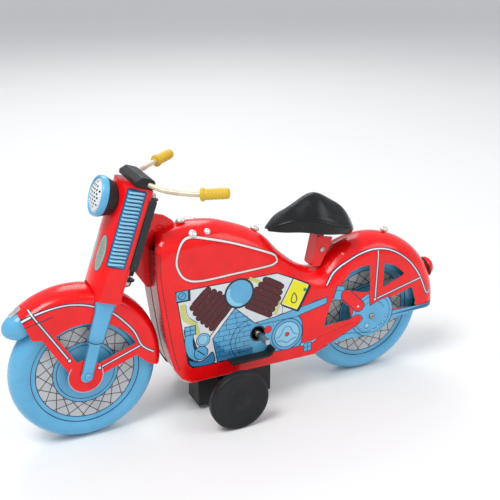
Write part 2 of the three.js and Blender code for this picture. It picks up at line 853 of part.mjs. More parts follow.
const middle = new THREE.Group();
middle.position.set(INTER_AT.x, 0, INTER_AT.y);
body.add(middle);
place(middle, "intermediate_arbor", rod(1, -PLATE_Y, PLATE_Y, 12), steel);
place(
  middle,
  "intermediate_gear",
  gear(INTER_TEETH, gapTowards(INTER_AT, DRIVE_AT, INTER_TEETH), 1.3, -2.6, -1.2),
  brass,
);
place(
  middle,
  "intermediate_pinion",
  gear(PINION_TEETH, heading(INTER_AT, ARBOR_AT), 1.3, -5.4, -3.2),
  steel,
);

const drive = new THREE.Group();
drive.position.set(DRIVE_AT.x, 0, DRIVE_AT.y);
body.add(drive);
place(drive, "drive_axle", rod(AXLE_R, -28, 28, 14), steel);
place(
  drive,
  "drive_pinion",
  gear(PINION_TEETH, heading(DRIVE_AT, INTER_AT), BORE_R, -2.9, -0.9),
  steel,
);
place(drive, "drive_wheel_left", driveWheel(), tyrePlastic);
place(drive, "drive_wheel_right", mirrored(driveWheel()), tyrePlastic);

for (const [name, x] of [
  ["rear", REAR_X],
  ["front", FRONT_X],
]) {
  const wheel = new THREE.Group();
  wheel.position.set(x, 0, WHEEL_R);
  motorcycle.add(wheel);
  place(wheel, `${name}_wheel_left`, wheelHalf(), blueTin);
  place(wheel, `${name}_wheel_right`, mirrored(wheelHalf()), blueTin);
}

const fork = new THREE.Group();
fork.position.set(FRONT_X, 0, WHEEL_R);
fork.rotation.y = RAKE;
motorcycle.add(fork);
place(fork, "fork_housing", forkHousing(), redTin);
place(fork, "fork_leg_left", forkLeg(), blueTin);
place(fork, "fork_leg_right", mirrored(forkLeg()), blueTin);
place(fork, "steering_pin", steeringPin(), steel);
place(fork, "headlamp_bucket", headlampBucket(), blackTin);
place(fork, "headlamp_rim", headlampRim(), blueTin);
place(fork, "headlamp_lens", headlampLens(), lensPlastic);
place(fork, "handlebar_clamp", handlebarClamp(), blackTin);
place(fork, "handlebar", handlebar(), bareTin);
place(fork, "grip_left", grip(-1), gripPlastic);
place(fork, "grip_right", grip(1), gripPlastic);

const frontEnd = new THREE.Group();
frontEnd.position.set(FRONT_X, 0, WHEEL_R);
motorcycle.add(frontEnd);
const fenderLeft = frontFenderHalf();
place(frontEnd, "front_fender_left", fenderLeft, redTin);
place(frontEnd, "front_fender_right", mirrored(fenderLeft), redTin);
place(frontEnd, "fender_lamp", fenderLamp(), blueTin);
place(frontEnd, "front_axle", clinchedAxle(LEG_OUTER + GAP), steel);

export default motorcycle;
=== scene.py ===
import json
import math

import bmesh
import bpy
import numpy as np
from mathutils import Matrix, Vector
from mathutils.geometry import delaunay_2d_cdt


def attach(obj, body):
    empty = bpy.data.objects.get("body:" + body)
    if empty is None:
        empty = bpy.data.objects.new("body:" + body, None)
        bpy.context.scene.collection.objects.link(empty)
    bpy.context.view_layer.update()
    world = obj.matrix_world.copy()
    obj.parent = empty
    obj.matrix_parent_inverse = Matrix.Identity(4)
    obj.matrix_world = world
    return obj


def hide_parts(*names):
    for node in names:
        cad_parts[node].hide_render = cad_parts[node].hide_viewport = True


# A tin wind-up motorcycle. Lengths in this file are millimetres until a mesh is made.
# The front faces -X and the left side faces -Y, as in the frame.

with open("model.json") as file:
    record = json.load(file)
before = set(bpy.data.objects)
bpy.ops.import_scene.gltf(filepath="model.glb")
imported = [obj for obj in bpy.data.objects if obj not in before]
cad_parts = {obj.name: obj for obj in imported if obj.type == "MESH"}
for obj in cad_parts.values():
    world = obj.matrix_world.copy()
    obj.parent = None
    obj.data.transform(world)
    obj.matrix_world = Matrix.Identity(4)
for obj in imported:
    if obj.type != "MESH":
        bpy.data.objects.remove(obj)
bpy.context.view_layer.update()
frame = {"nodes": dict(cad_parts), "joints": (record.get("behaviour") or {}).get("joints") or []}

MM = 0.001
JOINTS = {joint["name"]: joint for joint in frame["joints"]}


def joint_at(name):
    """A joint's place in millimetres."""
    return Vector(JOINTS[name]["pos_m"]) / MM


REAR = joint_at("rear_wheel_spin")
FRONT = joint_at("front_wheel_spin")
DRIVE = joint_at("drive_spin")
ARBOR = joint_at("winding_spin")
STEER_AXIS = Vector(JOINTS["steering"]["axis"])
RAKE = math.atan2(STEER_AXIS.x, STEER_AXIS.z)
WHEEL_R = FRONT.z

HANDS = {-1: "left", 1: "right"}  # by the sign of Y

# Body art and pressings are drawn from the rear axle's place on the ground,
# the front fender and the wheels from their axles, and the fork along its own leaned axis.
BODY_FRAME = Matrix.Translation((REAR.x, 0, 0))
REAR_FRAME = Matrix.Translation(REAR)
FRONT_FRAME = Matrix.Translation(FRONT)
FORK_FRAME = FRONT_FRAME @ Matrix.Rotation(RAKE, 4, "Y")

SHEET = 0.8
AXLE_HOLE_R = 1.5
BODY_HALF = 11.4
BODY_CROWN = 9
FENDER_R = 41
SEAM = 0.12
FENDER_HALF = 8.5
FENDER_CROWN = 4.6
FRONT_FENDER_R = 38.4
FRONT_FENDER_CENTRE = (-3.2, 2.2)
FORK_HALF = 10.6
FORK_LOW = 35
FORK_HIGH = 87
LAMP_HEIGHT = 78
PIN_BACK = 8.5  # the steering pin's place behind the fork's own axis


# ---- camera ----


def make_camera():
    """A view from in front of the left side and a little above."""
    data = bpy.data.cameras.new("camera")
    data.sensor_width = 36
    data.lens = 62.57
    data.clip_start = 0.01
    camera = bpy.data.objects.new("camera", data)
    camera.location = (REAR.x * MM - 0.2234, -0.3387, 0.2247)
    camera.rotation_euler = (math.radians(68.25), 0, math.radians(-25.48))
    bpy.context.scene.collection.objects.link(camera)
    bpy.context.scene.camera = camera


make_camera()


# ---- materials ----


class Shader:
    """A node material with a Principled shader, and short ways to add to it."""

    def __init__(self, name):
        self.material = bpy.data.materials.new(name)
        self.material.use_nodes = True
        self.nodes = self.material.node_tree.nodes
        self.links = self.material.node_tree.links
        self.surface = self.nodes["Principled BSDF"]
        self.place = self.nodes.new("ShaderNodeTexCoord").outputs["Object"]

    def set(self, **values):
        for name, value in values.items():
            self.surface.inputs[name.replace("_", " ")].default_value = value

    def noise(self, scale, detail=4, roughness=0.55, stretch=(1, 1, 1)):
        mapping = self.nodes.new("ShaderNodeMapping")
        mapping.inputs["Scale"].default_value = stretch
        self.links.new(self.place, mapping.inputs["Vector"])
        noise = self.nodes.new("ShaderNodeTexNoise")
        noise.inputs["Scale"].default_value = scale
        noise.inputs["Detail"].default_value = detail
        noise.inputs["Roughness"].default_value = roughness
        self.links.new(mapping.outputs["Vector"], noise.inputs["Vector"])
        return noise.outputs["Fac"]

    def ramp(self, value, low, high, from_value=0.0, to_value=1.0):
        """value, spread from low..high to from_value..to_value and held there."""
        spread = self.nodes.new("ShaderNodeMapRange")
        spread.inputs["From Min"].default_value = low
        spread.inputs["From Max"].default_value = high
        spread.inputs["To Min"].default_value = from_value
        spread.inputs["To Max"].default_value = to_value
        self.links.new(value, spread.inputs["Value"])
        return spread.outputs["Result"]

    def blend(self, factor, first, second):
        """A colour between two, each of them a colour or a socket."""
        mix = self.nodes.new("ShaderNodeMix")
        mix.data_type = "RGBA"
        self.links.new(factor, mix.inputs["Factor"])
        colour_a, colour_b, mixed = mix.inputs[6], mix.inputs[7], mix.outputs[2]
        for socket, colour in ((colour_a, first), (colour_b, second)):
            if isinstance(colour, bpy.types.NodeSocket):
                self.links.new(colour, socket)
            else:
                socket.default_value = (*colour, 1)
        return mixed

    def bump(self, *layers):
        """Stacks height layers, each a (socket, distance in mm)."""
        normal = None
        for height, distance in layers:
            bump = self.nodes.new("ShaderNodeBump")
            bump.inputs["Distance"].default_value = distance * MM
            self.links.new(height, bump.inputs["Height"])
            if normal:
                self.links.new(normal, bump.inputs["Normal"])
            normal = bump.outputs["Normal"]
        self.links.new(normal, self.surface.inputs["Normal"])

    def link(self, socket, name):
        self.links.new(socket, self.surface.inputs[name])


BARE_TIN = (0.62, 0.60, 0.56)


def litho(name, colour, gloss=0.2):
    """Varnished ink on tinplate: soft mottling, hairline scratches and a few worn specks."""
    shader = Shader(name)
    mottle = shader.noise(90, 3)
    darker = tuple(0.86 * c for c in colour)
    ink = shader.blend(shader.ramp(mottle, 0.3, 0.7), darker, colour)
    scratch = shader.noise(260, 2, 0.5, (0.25, 1, 3.2))
    specks = shader.ramp(shader.noise(1900, 2, 0.6), 0.735, 0.75)
    shader.link(shader.blend(specks, ink, BARE_TIN), "Base Color")
    shader.link(shader.ramp(specks, 0, 1, 0, 0.7), "Metallic")
    shader.link(shader.ramp(scratch, 0.35, 0.75, gloss, gloss + 0.1), "Roughness")
    shader.set(Coat_Weight=0.18, Coat_Roughness=0.05, Specular_IOR_Level=0.34)
    shader.bump((shader.noise(420, 2), 0.008), (scratch, 0.003))
    return shader.material


def bare_metal(name, colour, roughness, grain=(1, 1, 1), metallic=1.0):
    """Bright metal with drawn grain, dull patches and fine pits."""
    shader = Shader(name)
    patch = shader.noise(160, 4)
    tarnish = tuple(0.66 * c for c in colour)
    shader.link(shader.blend(shader.ramp(patch, 0.35, 0.75), colour, tarnish), "Base Color")
    lines = shader.noise(900, 3, 0.6, grain)
    shader.link(shader.ramp(lines, 0.2, 0.8, roughness - 0.08, roughness + 0.14), "Roughness")
    shader.set(Metallic=metallic)
    shader.bump((lines, 0.02), (shader.noise(2400, 2), 0.01))
    return shader.material


def plastic(name, colour, roughness, dust, grain):
    """Moulded plastic: a fine moulded grain, scuffs, and dust where it settles."""
    shader = Shader(name)
    scuff = shader.noise(130, 5, 0.65)
    lighter = tuple(c + dust for c in colour)
    shader.link(shader.blend(shader.ramp(scuff, 0.45, 0.8), colour, lighter), "Base Color")
    shader.link(shader.ramp(scuff, 0.3, 0.75, roughness, roughness + 0.18), "Roughness")
    shader.set(Specular_IOR_Level=0.26)
    shader.bump((shader.noise(1500, 2), grain), (shader.noise(300, 3, 0.5, (0.3, 1, 2)), grain))
    return shader.material


def painted_black(name, roughness=0.34):
    """Black paint on tin, rubbed thin in places."""
    shader = Shader(name)
    rub = shader.noise(210, 5, 0.7)
    worn = shader.blend(shader.ramp(rub, 0.68, 0.78), (0.012, 0.012, 0.013), (0.07, 0.066, 0.06))
    shader.link(worn, "Base Color")
    shader.link(shader.ramp(rub, 0.3, 0.8, roughness, roughness + 0.2), "Roughness")
    shader.set(Specular_IOR_Level=0.34)
    shader.bump((shader.noise(700, 3), 0.03))
    return shader.material


RED = litho("red_ink", (0.93, 0.004, 0.006), 0.16)
DEEP_RED = litho("deep_red_ink", (0.34, 0.004, 0.008))
BLUE = litho("blue_ink", (0.125, 0.45, 0.72))
SHADE_BLUE = litho("shade_blue_ink", (0.045, 0.23, 0.44))
PALE_BLUE = litho("pale_blue_ink", (0.28, 0.64, 0.86))
NAVY = litho("navy_ink", (0.010, 0.022, 0.085))
BLACK = litho("black_ink", (0.010, 0.012, 0.018))
WHITE = litho("white_ink", (0.84, 0.78, 0.77))
PANEL = litho("panel_ink", (0.74, 0.78, 0.80))
SPOKE_GROUND = litho("spoke_ground_ink", (0.52, 0.54, 0.56))
MAROON = litho("maroon_ink", (0.090, 0.004, 0.007))
DARK_MAROON = litho("dark_maroon_ink", (0.022, 0.002, 0.004))
YELLOW = litho("yellow_ink", (0.90, 0.84, 0.008))
PALE_YELLOW = litho("pale_yellow_ink", (0.85, 0.83, 0.42))
PIPE = litho("pipe_ink", (0.62, 0.62, 0.20))
GREEN = litho("green_ink", (0.03, 0.30, 0.06))
BADGE = litho("badge_ink", (0.30, 0.34, 0.27), 0.24)
TIN = bare_metal("bare_tin", (0.74, 0.73, 0.69), 0.26)
DULL_TIN = bare_metal("dull_tin", (0.40, 0.39, 0.37), 0.4)
STEEL = bare_metal("drawn_steel", (0.56, 0.55, 0.52), 0.3, (6, 1, 6))
BRASS = bare_metal("stamped_brass", (0.62, 0.43, 0.16), 0.32)
PLATED = bare_metal("plated_trim", (0.84, 0.83, 0.80), 0.36, metallic=0.75)
BAR_METAL = bare_metal("bar_metal", (0.74, 0.64, 0.46), 0.34, metallic=0.35)
BLACK_PAINT = painted_black("black_paint")
SEAT_BLACK = plastic("seat_plastic", (0.009, 0.010, 0.010), 0.17, 0.006, 0.006)
TYRE_BLACK = plastic("tyre_plastic", (0.011, 0.012, 0.013), 0.42, 0.012, 0.03)
GRIP_YELLOW = plastic("grip_plastic", (0.68, 0.44, 0.035), 0.24, 0.03, 0.015)


# ---- plane drawing: outlines are lists of (x, z) ----


def arc(x, z, radius, start, end, steps):
    """Points along an arc, with the angles in degrees."""
    angles = np.radians(np.linspace(start, end, steps + 1))
    return [(x + radius * math.cos(a), z + radius * math.sin(a)) for a in angles]


def circle(x, z, radius, steps=40):
    return arc(x, z, radius, 0, 360, steps)[:-1]


AXLE_HOLE = circle(0, 0, AXLE_HOLE_R, 20)


def between(a, b, c, d, t):
    """The place at t from b to c on a Catmull-Rom line through four points."""
    return 0.5 * (2 * b + (c - a) * t + (2 * a - 5 * b + 4 * c - d) * t * t
                  + (3 * b - a - 3 * c + d) * t ** 3)


def curve(points, step=1.2, closed=False):
    """A smooth line through points, sampled about every step."""
    p = [np.array(q, float) for q in points]
    ends = (p[-1], p[0], p[1]) if closed else (2 * p[0] - p[1], 2 * p[-1] - p[-2], None)
    p = [ends[0], *p, ends[1]] + ([ends[2]] if closed else [])
    out = []
    for a, b, c, d in zip(p, p[1:], p[2:], p[3:]):
        count = max(1, round(float(np.linalg.norm(c - b)) / step))
        for t in np.arange(count) / count:
            out.append(tuple(between(a, b, c, d, t)))
    return out if closed else [*out, tuple(p[-2])]


def straight(a, b, step=1.5):
    """Points along a straight line."""
    a, b = np.array(a, float), np.array(b, float)
    count = max(1, round(float(np.linalg.norm(b - a)) / step))
    return [tuple(a + (b - a) * i / count) for i in range(count + 1)]


def side_steps(points, closed):
    """For each point, the step to its left that keeps a line's width even round bends."""
    p = np.array(points, float)
    after = np.roll(p, -1, 0) - p
    before = p - np.roll(p, 1, 0)
    if not closed:
        after[-1] = before[-1]
        before[0] = after[0]
    after /= np.linalg.norm(after, axis=1)[:, None]
    before /= np.linalg.norm(before, axis=1)[:, None]
    left = np.column_stack([-(after + before)[:, 1], (after + before)[:, 0]])
    left /= np.linalg.norm(left, axis=1)[:, None]
    bend = np.maximum(0.4, np.abs(left[:, 0] * -after[:, 1] + left[:, 1] * after[:, 0]))
    return left / bend[:, None]


def shifted(points, distance, closed=True):
    """The line moved to its left by distance."""
    return [tuple(q) for q in np.array(points, float) + distance * side_steps(points, closed)]


def area(loop):
    p = np.array(loop, float)
    q = np.roll(p, -1, 0)
    return float(np.sum(p[:, 0] * q[:, 1] - q[:, 0] * p[:, 1])) / 2


def inset(loop, distance):
    """A closed outline moved inward."""
    return shifted(loop, distance if area(loop) > 0 else -distance)


def band(points, width):
    """A ribbon along an open line, as one outline."""
    return shifted(points, width / 2, False) + shifted(points, -width / 2, False)[::-1]


def hoop(loop, width):
    """A ribbon along a closed line, as two outlines."""
    return [shifted(loop, width / 2), shifted(loop, -width / 2)]


def box(x0, z0, x1, z1):
    return [(x0, z0), (x1, z0), (x1, z1), (x0, z1)]


def turned_to(points, angle, at):
    """Points turned by an angle in degrees and moved to a place."""
    c, s = math.cos(math.radians(angle)), math.sin(math.radians(angle))
    return [(at[0] + x * c - z * s, at[1] + x * s + z * c) for x, z in points]


def capsule(a, b, width):
    """A straight bar with round ends."""
    angle = math.degrees(math.atan2(b[1] - a[1], b[0] - a[0]))
    return (arc(*a, width / 2, angle + 90, angle + 270, 8)
            + arc(*b, width / 2, angle - 90, angle + 90, 8))


def rounded(points, radius, steps=4):
    """A closed outline with its corners rounded."""
    out = []
    count = len(points)
    for i in range(count):
        here = np.array(points[i], float)
        back = np.array(points[i - 1], float) - here
        on = np.array(points[(i + 1) % count], float) - here
        reach = min(radius, 0.49 * np.linalg.norm(back), 0.49 * np.linalg.norm(on))
        a = here + back / np.linalg.norm(back) * reach
        b = here + on / np.linalg.norm(on) * reach
        for t in np.linspace(0, 1, steps + 1):
            out.append(tuple((1 - t) ** 2 * a + 2 * t * (1 - t) * here + t * t * b))
    return out


def inside(points, loop):
    """Which points lie inside a closed outline."""
    x, z = points[:, 0], points[:, 1]
    found = np.zeros(len(points), bool)
    for (x0, z0), (x1, z1) in zip(loop, [*loop[1:], loop[0]]):
        if z0 != z1:
            crosses = (z0 > z) != (z1 > z)
            found ^= crosses & (x < x0 + (z - z0) * (x1 - x0) / (z1 - z0))
    return found


def distance_to(points, line):
    """The distance from each point to a line through line's points."""
    nearest = np.full(len(points), 1e9)
    for a, b in zip(line[:-1], line[1:]):
        a, b = np.array(a, float), np.array(b, float)
        along = b - a
        t = np.clip((points - a) @ along / max(1e-12, along @ along), 0, 1)
        nearest = np.minimum(nearest, np.linalg.norm(points - a - t[:, None] * along, axis=1))
    return nearest


# ---- art layers: each is ([outlines], ink), and a later layer covers an earlier one ----


def filled(loop, ink, edge=0.4, edge_ink=None):
    """A shape with a printed outline."""
    return [([loop], edge_ink or NAVY), ([inset(loop, edge)], ink)]


def line(points, width=0.32, ink=None):
    return [([band(points, width)], ink or NAVY)]


def loop_line(loop, width, ink=None):
    return [(hoop(loop, width), ink or NAVY)]


def pinstripe(points, white=0.6, edge=1.55):
    """A white stripe with navy edges."""
    return [([band(points, edge)], NAVY), ([band(points, white)], WHITE)]


def printed_rivet(place, radius):
    return [([circle(*place, radius, 16)], NAVY), ([circle(*place, 0.7, 14)], WHITE)]


# ---- meshes ----


def add_mesh(name, points, faces, inks, paints=None, normals=None):
    """A mesh from points in millimetres, with an ink index for each face and optional normals."""
    mesh = bpy.data.meshes.new(name)
    mesh.from_pydata([tuple(p) for p in np.asarray(points) * MM], [], faces)
    for ink in inks:
        mesh.materials.append(ink)
    if paints is not None:
        mesh.polygons.foreach_set("material_index", np.asarray(paints, np.int32))
    mesh.polygons.foreach_set("use_smooth", np.ones(len(mesh.polygons), bool))
    mesh.update()
    if normals is not None:
        mesh.normals_split_custom_set([tuple(n) for n in normals])
    return mesh


def piece(mesh, body, slot, *nodes):
    """A shown piece, named after its mesh, that rides on a body and stands for CAD nodes."""
    obj = bpy.data.objects.new(mesh.name, mesh)
    bpy.context.scene.collection.objects.link(obj)
    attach(obj, body)
    if nodes:
        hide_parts(*nodes)
    return obj


def moved(points, place, side=-1):
    """Points from the left side's drawing frame to the scene, mirrored for the right side."""
    p = np.array(points, float)
    if side > 0:
        p = p * (1, -1, 1)
    return p @ np.array(place.to_3x3()).T + np.array(place.translation)


def triangles_of(keep, holes=(), layers=(), lines=(), points=(), any_of=()):
    """Cuts a plane region along every outline, and gives (points, triangles, layer of each).

    The region lies in every keep outline, in one of any_of where there are some, and in no hole.
    """
    corners, edges = [], []

    def add(line_points, closed):
        first = len(corners)
        corners.extend(Vector(p) for p in line_points)
        count = len(line_points)
        last = count if closed else count - 1
        edges.extend((first + i, first + (i + 1) % count) for i in range(last))

    for loop in [*keep, *holes, *any_of]:
        add(loop, True)
    for loops, _ in layers:
        for loop in loops:
            add(loop, True)
    for open_line in lines:
        add(open_line, False)
    corners.extend(Vector(p) for p in points)
    made = delaunay_2d_cdt(corners, edges, [], 0, 1e-4)
    flat = np.array([tuple(v) for v in made[0]])
    faces = np.array([list(f) for f in made[2]])
    middle = flat[faces].mean(axis=1)
    shown = np.ones(len(faces), bool)
    for loop in keep:
        shown &= inside(middle, loop)
    for loop in holes:
        shown &= ~inside(middle, loop)
    if any_of:
        shown &= np.any([inside(middle, loop) for loop in any_of], axis=0)
    faces, middle = faces[shown], middle[shown]
    a, b, c = (flat[faces[:, i]] for i in range(3))
    turn = (b - a)[:, 0] * (c - a)[:, 1] - (b - a)[:, 1] * (c - a)[:, 0]
    faces[turn < 0] = faces[turn < 0][:, ::-1]
    paint = np.zeros(len(faces), int)
    for i, (loops, _) in enumerate(layers):
        within = np.zeros(len(faces), bool)
        for loop in loops:
            within ^= inside(middle, loop)
        paint[within] = i + 1
    used, renumbered = np.unique(faces, return_inverse=True)
    return flat[used], renumbered.reshape(-1, 3), paint


def rim_of(faces):
    """The edges round a set of triangles, each in its triangle's own direction."""
    ahead = {(int(f[i]), int(f[(i + 1) % 3])) for f in faces for i in range(3)}
    return sorted((p, q) for p, q in ahead if (q, p) not in ahead)


def both_sides(faces, count):
    """Triangles, the same turned over with points count further on, and the walls between the two."""
    out = [tuple(map(int, f)) for f in faces]
    out += [tuple(int(v) + count for v in f[::-1]) for f in faces]
    return out + [(q, p, p + count, q + count) for p, q in rim_of(faces)]


def printed_sheet(name, ground, keep, lift, place, side=-1, holes=(), layers=(), lines=(), points=(),
                  any_of=(), thickness=SHEET, back=None):
    """One printed sheet of tin: a front with its art cut into it, a plain back, and bare cut edges.

    lift turns flat points into the left side's surface, and side 1 mirrors it to the right.
    """
    flat, faces, paint = triangles_of(keep, holes, layers, lines, points, any_of)
    step = 0.02
    across = lift(flat + (step, 0)) - lift(flat - (step, 0))
    up = lift(flat + (0, step)) - lift(flat - (0, step))
    normal = np.cross(across, up)
    normal /= np.maximum(1e-12, np.linalg.norm(normal, axis=1))[:, None]
    surface = lift(flat)
    front = moved(surface, place, side)
    rear = moved(surface - normal * thickness, place, side)
    normal = moved(normal, place.to_3x3().to_4x4(), side)
    if side > 0:
        faces = faces[:, ::-1]
    all_faces = both_sides(faces, len(front))
    inks = [ground, *dict.fromkeys(ink for _, ink in layers if ink != ground), back or TIN, TIN]
    index = {ink: i for i, ink in reversed(list(enumerate(inks[:-2])))}
    paints = [0 if k == 0 else index[layers[k - 1][1]] for k in paint]
    paints += [len(inks) - 2] * len(faces)
    paints += [len(inks) - 1] * (len(all_faces) - len(paints))
    corners = np.vstack([front, rear])
    corner_normals = [normal[v] for f in faces for v in f]
    corner_normals += [-normal[v] for f in faces for v in f[::-1]]
    for q, p, p2, _ in all_faces[2 * len(faces):]:
        outward = np.cross(corners[p] - corners[q], corners[p2] - corners[q])
        outward /= max(1e-12, float(np.linalg.norm(outward)))
        corner_normals += [outward] * 4
    return add_mesh(name, corners, all_faces, inks, paints, corner_normals)


def lathe(name, profile, ink, place, segments, sharp=38):
    """A solid of revolution about Y. A profile that doesn't start and end on the axis closes on itself."""
    closed = profile[0][0] > 1e-6
    rows, points, faces = [], [], []
    for radius, y in profile:
        start = len(points)
        if radius < 1e-6:
            points.append((0, y, 0))
            rows.append([start] * segments)
            continue
        for k in range(segments):
            angle = 2 * math.pi * k / segments
            points.append((radius * math.cos(angle), y, radius * math.sin(angle)))
        rows.append([start + k for k in range(segments)])
    pairs = list(zip(rows, rows[1:])) + ([(rows[-1], rows[0])] if closed else [])
    for low, high in pairs:
        for k in range(segments):
            nxt = (k + 1) % segments
            face = list(dict.fromkeys((low[k], high[k], high[nxt], low[nxt])))
            if len(face) > 2:
                faces.append(face)
    mesh = add_mesh(name, moved(points, place), faces, [ink])
    mesh.set_sharp_from_angle(angle=math.radians(sharp))
    turn_outward(mesh)
    return mesh


def turn_outward(mesh):
    """Makes every face point out of the solid."""
    work = bmesh.new()
    work.from_mesh(mesh)
    bmesh.ops.recalc_face_normals(work, faces=work.faces)
    work.to_mesh(mesh)
    work.free()


def soften(obj, width, segments=3, angle=32):
    """Rounds a piece's sharp edges."""
    bevel = obj.modifiers.new("edges", "BEVEL")
    bevel.width = width * MM
    bevel.segments = segments
    bevel.limit_method = "ANGLE"
    bevel.angle_limit = math.radians(angle)
    bevel.harden_normals = True
    return obj


def slab(name, keep, low, high, ink, place, holes=(), side=-1):
    """A flat shape in X and Z with its thickness from low to high along Y."""
    flat, faces, _ = triangles_of(keep, holes)
    count = len(flat)
    points = np.vstack([np.column_stack([flat[:, 0], np.full(count, y), flat[:, 1]]) for y in (low, high)])
    all_faces = both_sides(faces, count)
    mesh = add_mesh(name, moved(points, place, side), all_faces, [ink])
    turn_outward(mesh)
    mesh.set_sharp_from_angle(angle=math.radians(30))
    return mesh


def grid_points(low, high, step):
    """A staggered grid of points in a rectangle."""
    out = []
    for j, z in enumerate(np.arange(low[1], high[1], step)):
        for x in np.arange(low[0] + (j % 2) * step / 2, high[0], step):
            out.append((x, z))
    return out


def crown_points(outline, crown, rows=11):
    """Points on lines inside an outline, closer together where the crown is steeper."""
    out = []
    for k in range(1, rows + 1):
        depth = crown * (1 - math.cos(0.5 * math.pi * k / rows))
        ring = np.array(inset(outline, depth))
        far = distance_to(ring, [*outline, outline[0]]) > 0.94 * depth
        out.extend(map(tuple, ring[far & inside(ring, outline)]))
    return out


def pillow_height(flat, outline, half, crown):
    """The half thickness of a pressed cushion shape: half in its middle, and none at its outline."""
    depth = distance_to(flat, [*outline, outline[0]])
    depth = np.where(inside(flat, outline), np.minimum(depth, crown), 0)
    return half * np.sqrt(np.maximum(0, 1 - (1 - depth / crown) ** 2))


def raised(flat, height):
    """Flat points pushed out to the left by a height, and kept just clear of the seam."""
    return np.column_stack([flat[:, 0], -np.maximum(SEAM, height), flat[:, 1]])


# ---- body halves ----

BODY_BOTTOM = 18.5
TANK_TOP = [(-116, 84), (-109.5, 91.2), (-100, 93.2), (-91, 94), (-80, 92.8), (-70, 89.4), (-62.5, 86),
            (-55.5, 81.4), (-49.5, 74.8), (-43.7, 69.2), (-37.5, 64.4), (-31.5, 61.5), (-26.5, 61),
            (-22, 64.8), (-17.3, 70.2)]
FRONT_EDGE = [(-104.8, 27), (-106.8, 34), (-109, 48), (-111.6, 70.6), (-111.6, 85)]
BODY_EDGE = [
    (-32, BODY_BOTTOM), (-97, BODY_BOTTOM), (-101.6, 21.5), *FRONT_EDGE, (-104, 98), (50, 98), (50, 29.5),
    (12.2, 29), (7.8, 25), (0, 22.2), (-13.3, 23.4), (-23.3, 22.8),
]
BODY_WINDOWS = [
    [(-18.3, 53.9), (-13.3, 59.4), (-7.8, 61.1), (-2.4, 61.1), (-1.7, 47.2), (-4.4, 46.7), (-15.6, 50)],
    [(5.6, 60.6), (12.2, 58.3), (18.3, 52.8), (5.6, 47.8)],
    [(10, 41.1), (23.3, 44.4), (26.7, 35), (26.7, 33.3), (12.2, 34.4), (11.1, 38.3)],
    [(-23.3, 47.2), (-17.8, 45), (-13.3, 40.6), (-12.8, 37.2), (-11.7, 33.9), (-27.8, 33)],
]
HUB = (0, WHEEL_R)
WINDING_HOLE = (-63.3, 37.2)
EDGE_ROLL = 1.3
ROLLED_EDGE = BODY_EDGE[:8]  # the bottom and the front


def body_outline():
    fender = arc(0, WHEEL_R, FENDER_R, 115, 0, 64)
    return [(-116, 8), *curve(TANK_TOP, 1.4)[:-1], *fender, (FENDER_R, 8)]


BODY_OUTLINE = body_outline()


def body_lift(flat):
    """The left side's surface, with its lower and front edges rolled in."""
    height = pillow_height(flat, BODY_OUTLINE, BODY_HALF, BODY_CROWN)
    near = np.minimum(EDGE_ROLL, distance_to(flat, ROLLED_EDGE))
    height -= EDGE_ROLL - np.sqrt(np.maximum(0, EDGE_ROLL ** 2 - (EDGE_ROLL - near) ** 2))
    return raised(flat, height)


def tank_art():
    teardrop = curve([(-102.6, 80.6), (-100.6, 87), (-95.6, 90), (-86, 88), (-75.6, 84.6), (-64.4, 79.9),
                      (-55.2, 75.4), (-52.9, 72.9), (-55.4, 70.8), (-75.6, 69.8), (-92.2, 69.4),
                      (-98.9, 71.7), (-101.8, 76)], 1.0, True)
    return loop_line(teardrop, 1.7, DEEP_RED) + loop_line(teardrop, 0.9, WHITE)


def cylinder_art(base, angle, fins, width, pitch):
    """A finned cylinder that stands on its base point, with its fins across."""
    art = []
    tall = pitch * (fins - 0.2)
    core = turned_to(box(-width * 0.43, 0, width * 0.43, tall), angle, base)
    art += filled(core, MAROON, 0.5, DARK_MAROON)
    for k in range(fins):
        half = width / 2 * (1 - 0.13 * max(0, k - fins + 3))
        z = pitch * (k + 0.35)
        fin = turned_to(capsule((-half, z), (half, z), pitch * 1.06), angle, base)
        art += filled(fin, MAROON, 0.34, DARK_MAROON)
        groove = turned_to(box(-half * 0.8, z + pitch * 0.42, half * 0.8, z + pitch * 0.62), angle, base)
        art.append(([groove], DARK_MAROON))
    return art


def oil_tank_art():
    centre, angle = (-43.7, 53.4), -29
    outer = rounded(turned_to(box(-5.4, -7.2, 5.4, 7.2), angle, centre), 1.2)
    middle = rounded(turned_to(box(-4.3, -6.1, 4.3, 6.1), angle, centre), 0.8)
    drop = turned_to(curve([(0, 3), (1.5, 0), (1.1, -1.6), (0, -2.2), (-1.1, -1.6), (-1.5, 0)], 0.5, True),
                     0, (-44.4, 51.4))
    spout = turned_to(circle(0, 0, 0.9, 14), 0, (-38.6, 55))
    shade = [(x + 0.7, z - 0.7) for x, z in outer]
    art = [([shade], BLACK), ([outer], BLACK), ([inset(outer, 0.6)], PALE_YELLOW), ([middle], YELLOW)]
    return art + [(hoop(drop, 0.55), NAVY), ([spout], GREEN)]


def carburettor_art():
    pipe = curve([(-97.6, 45), (-98, 39), (-96.6, 34), (-93, 31)])
    base = [(-98.6, 31.4), (-95.4, 30), (-92, 29.6), (-89.4, 31), (-86.4, 33), (-85.6, 27), (-94, 26.6),
            (-97.6, 28)]
    art = [([[(-100.4, 47), (-97, 47), (-93, 33), (-98.6, 28.4), (-99.4, 36)]], BLACK)]
    art += filled(band(pipe, 4.4), BLUE)
    art += filled(curve(base, closed=True), SHADE_BLUE, 0.5)
    art += filled(box(-100, 43.6, -94.4, 48.4), BLUE)
    art += line([(-100, 46), (-94.4, 46)]) + line([(-97.2, 43.6), (-97.2, 48.4)])
    art += filled(circle(-91, 40, 3.5), PALE_BLUE) + loop_line(circle(-91, 40, 2.4), 0.22)
    art += filled(circle(-92.2, 33.6, 3.6), BLUE) + line([(-94, 35.2), (-90.4, 32)], 0.5)
    return art


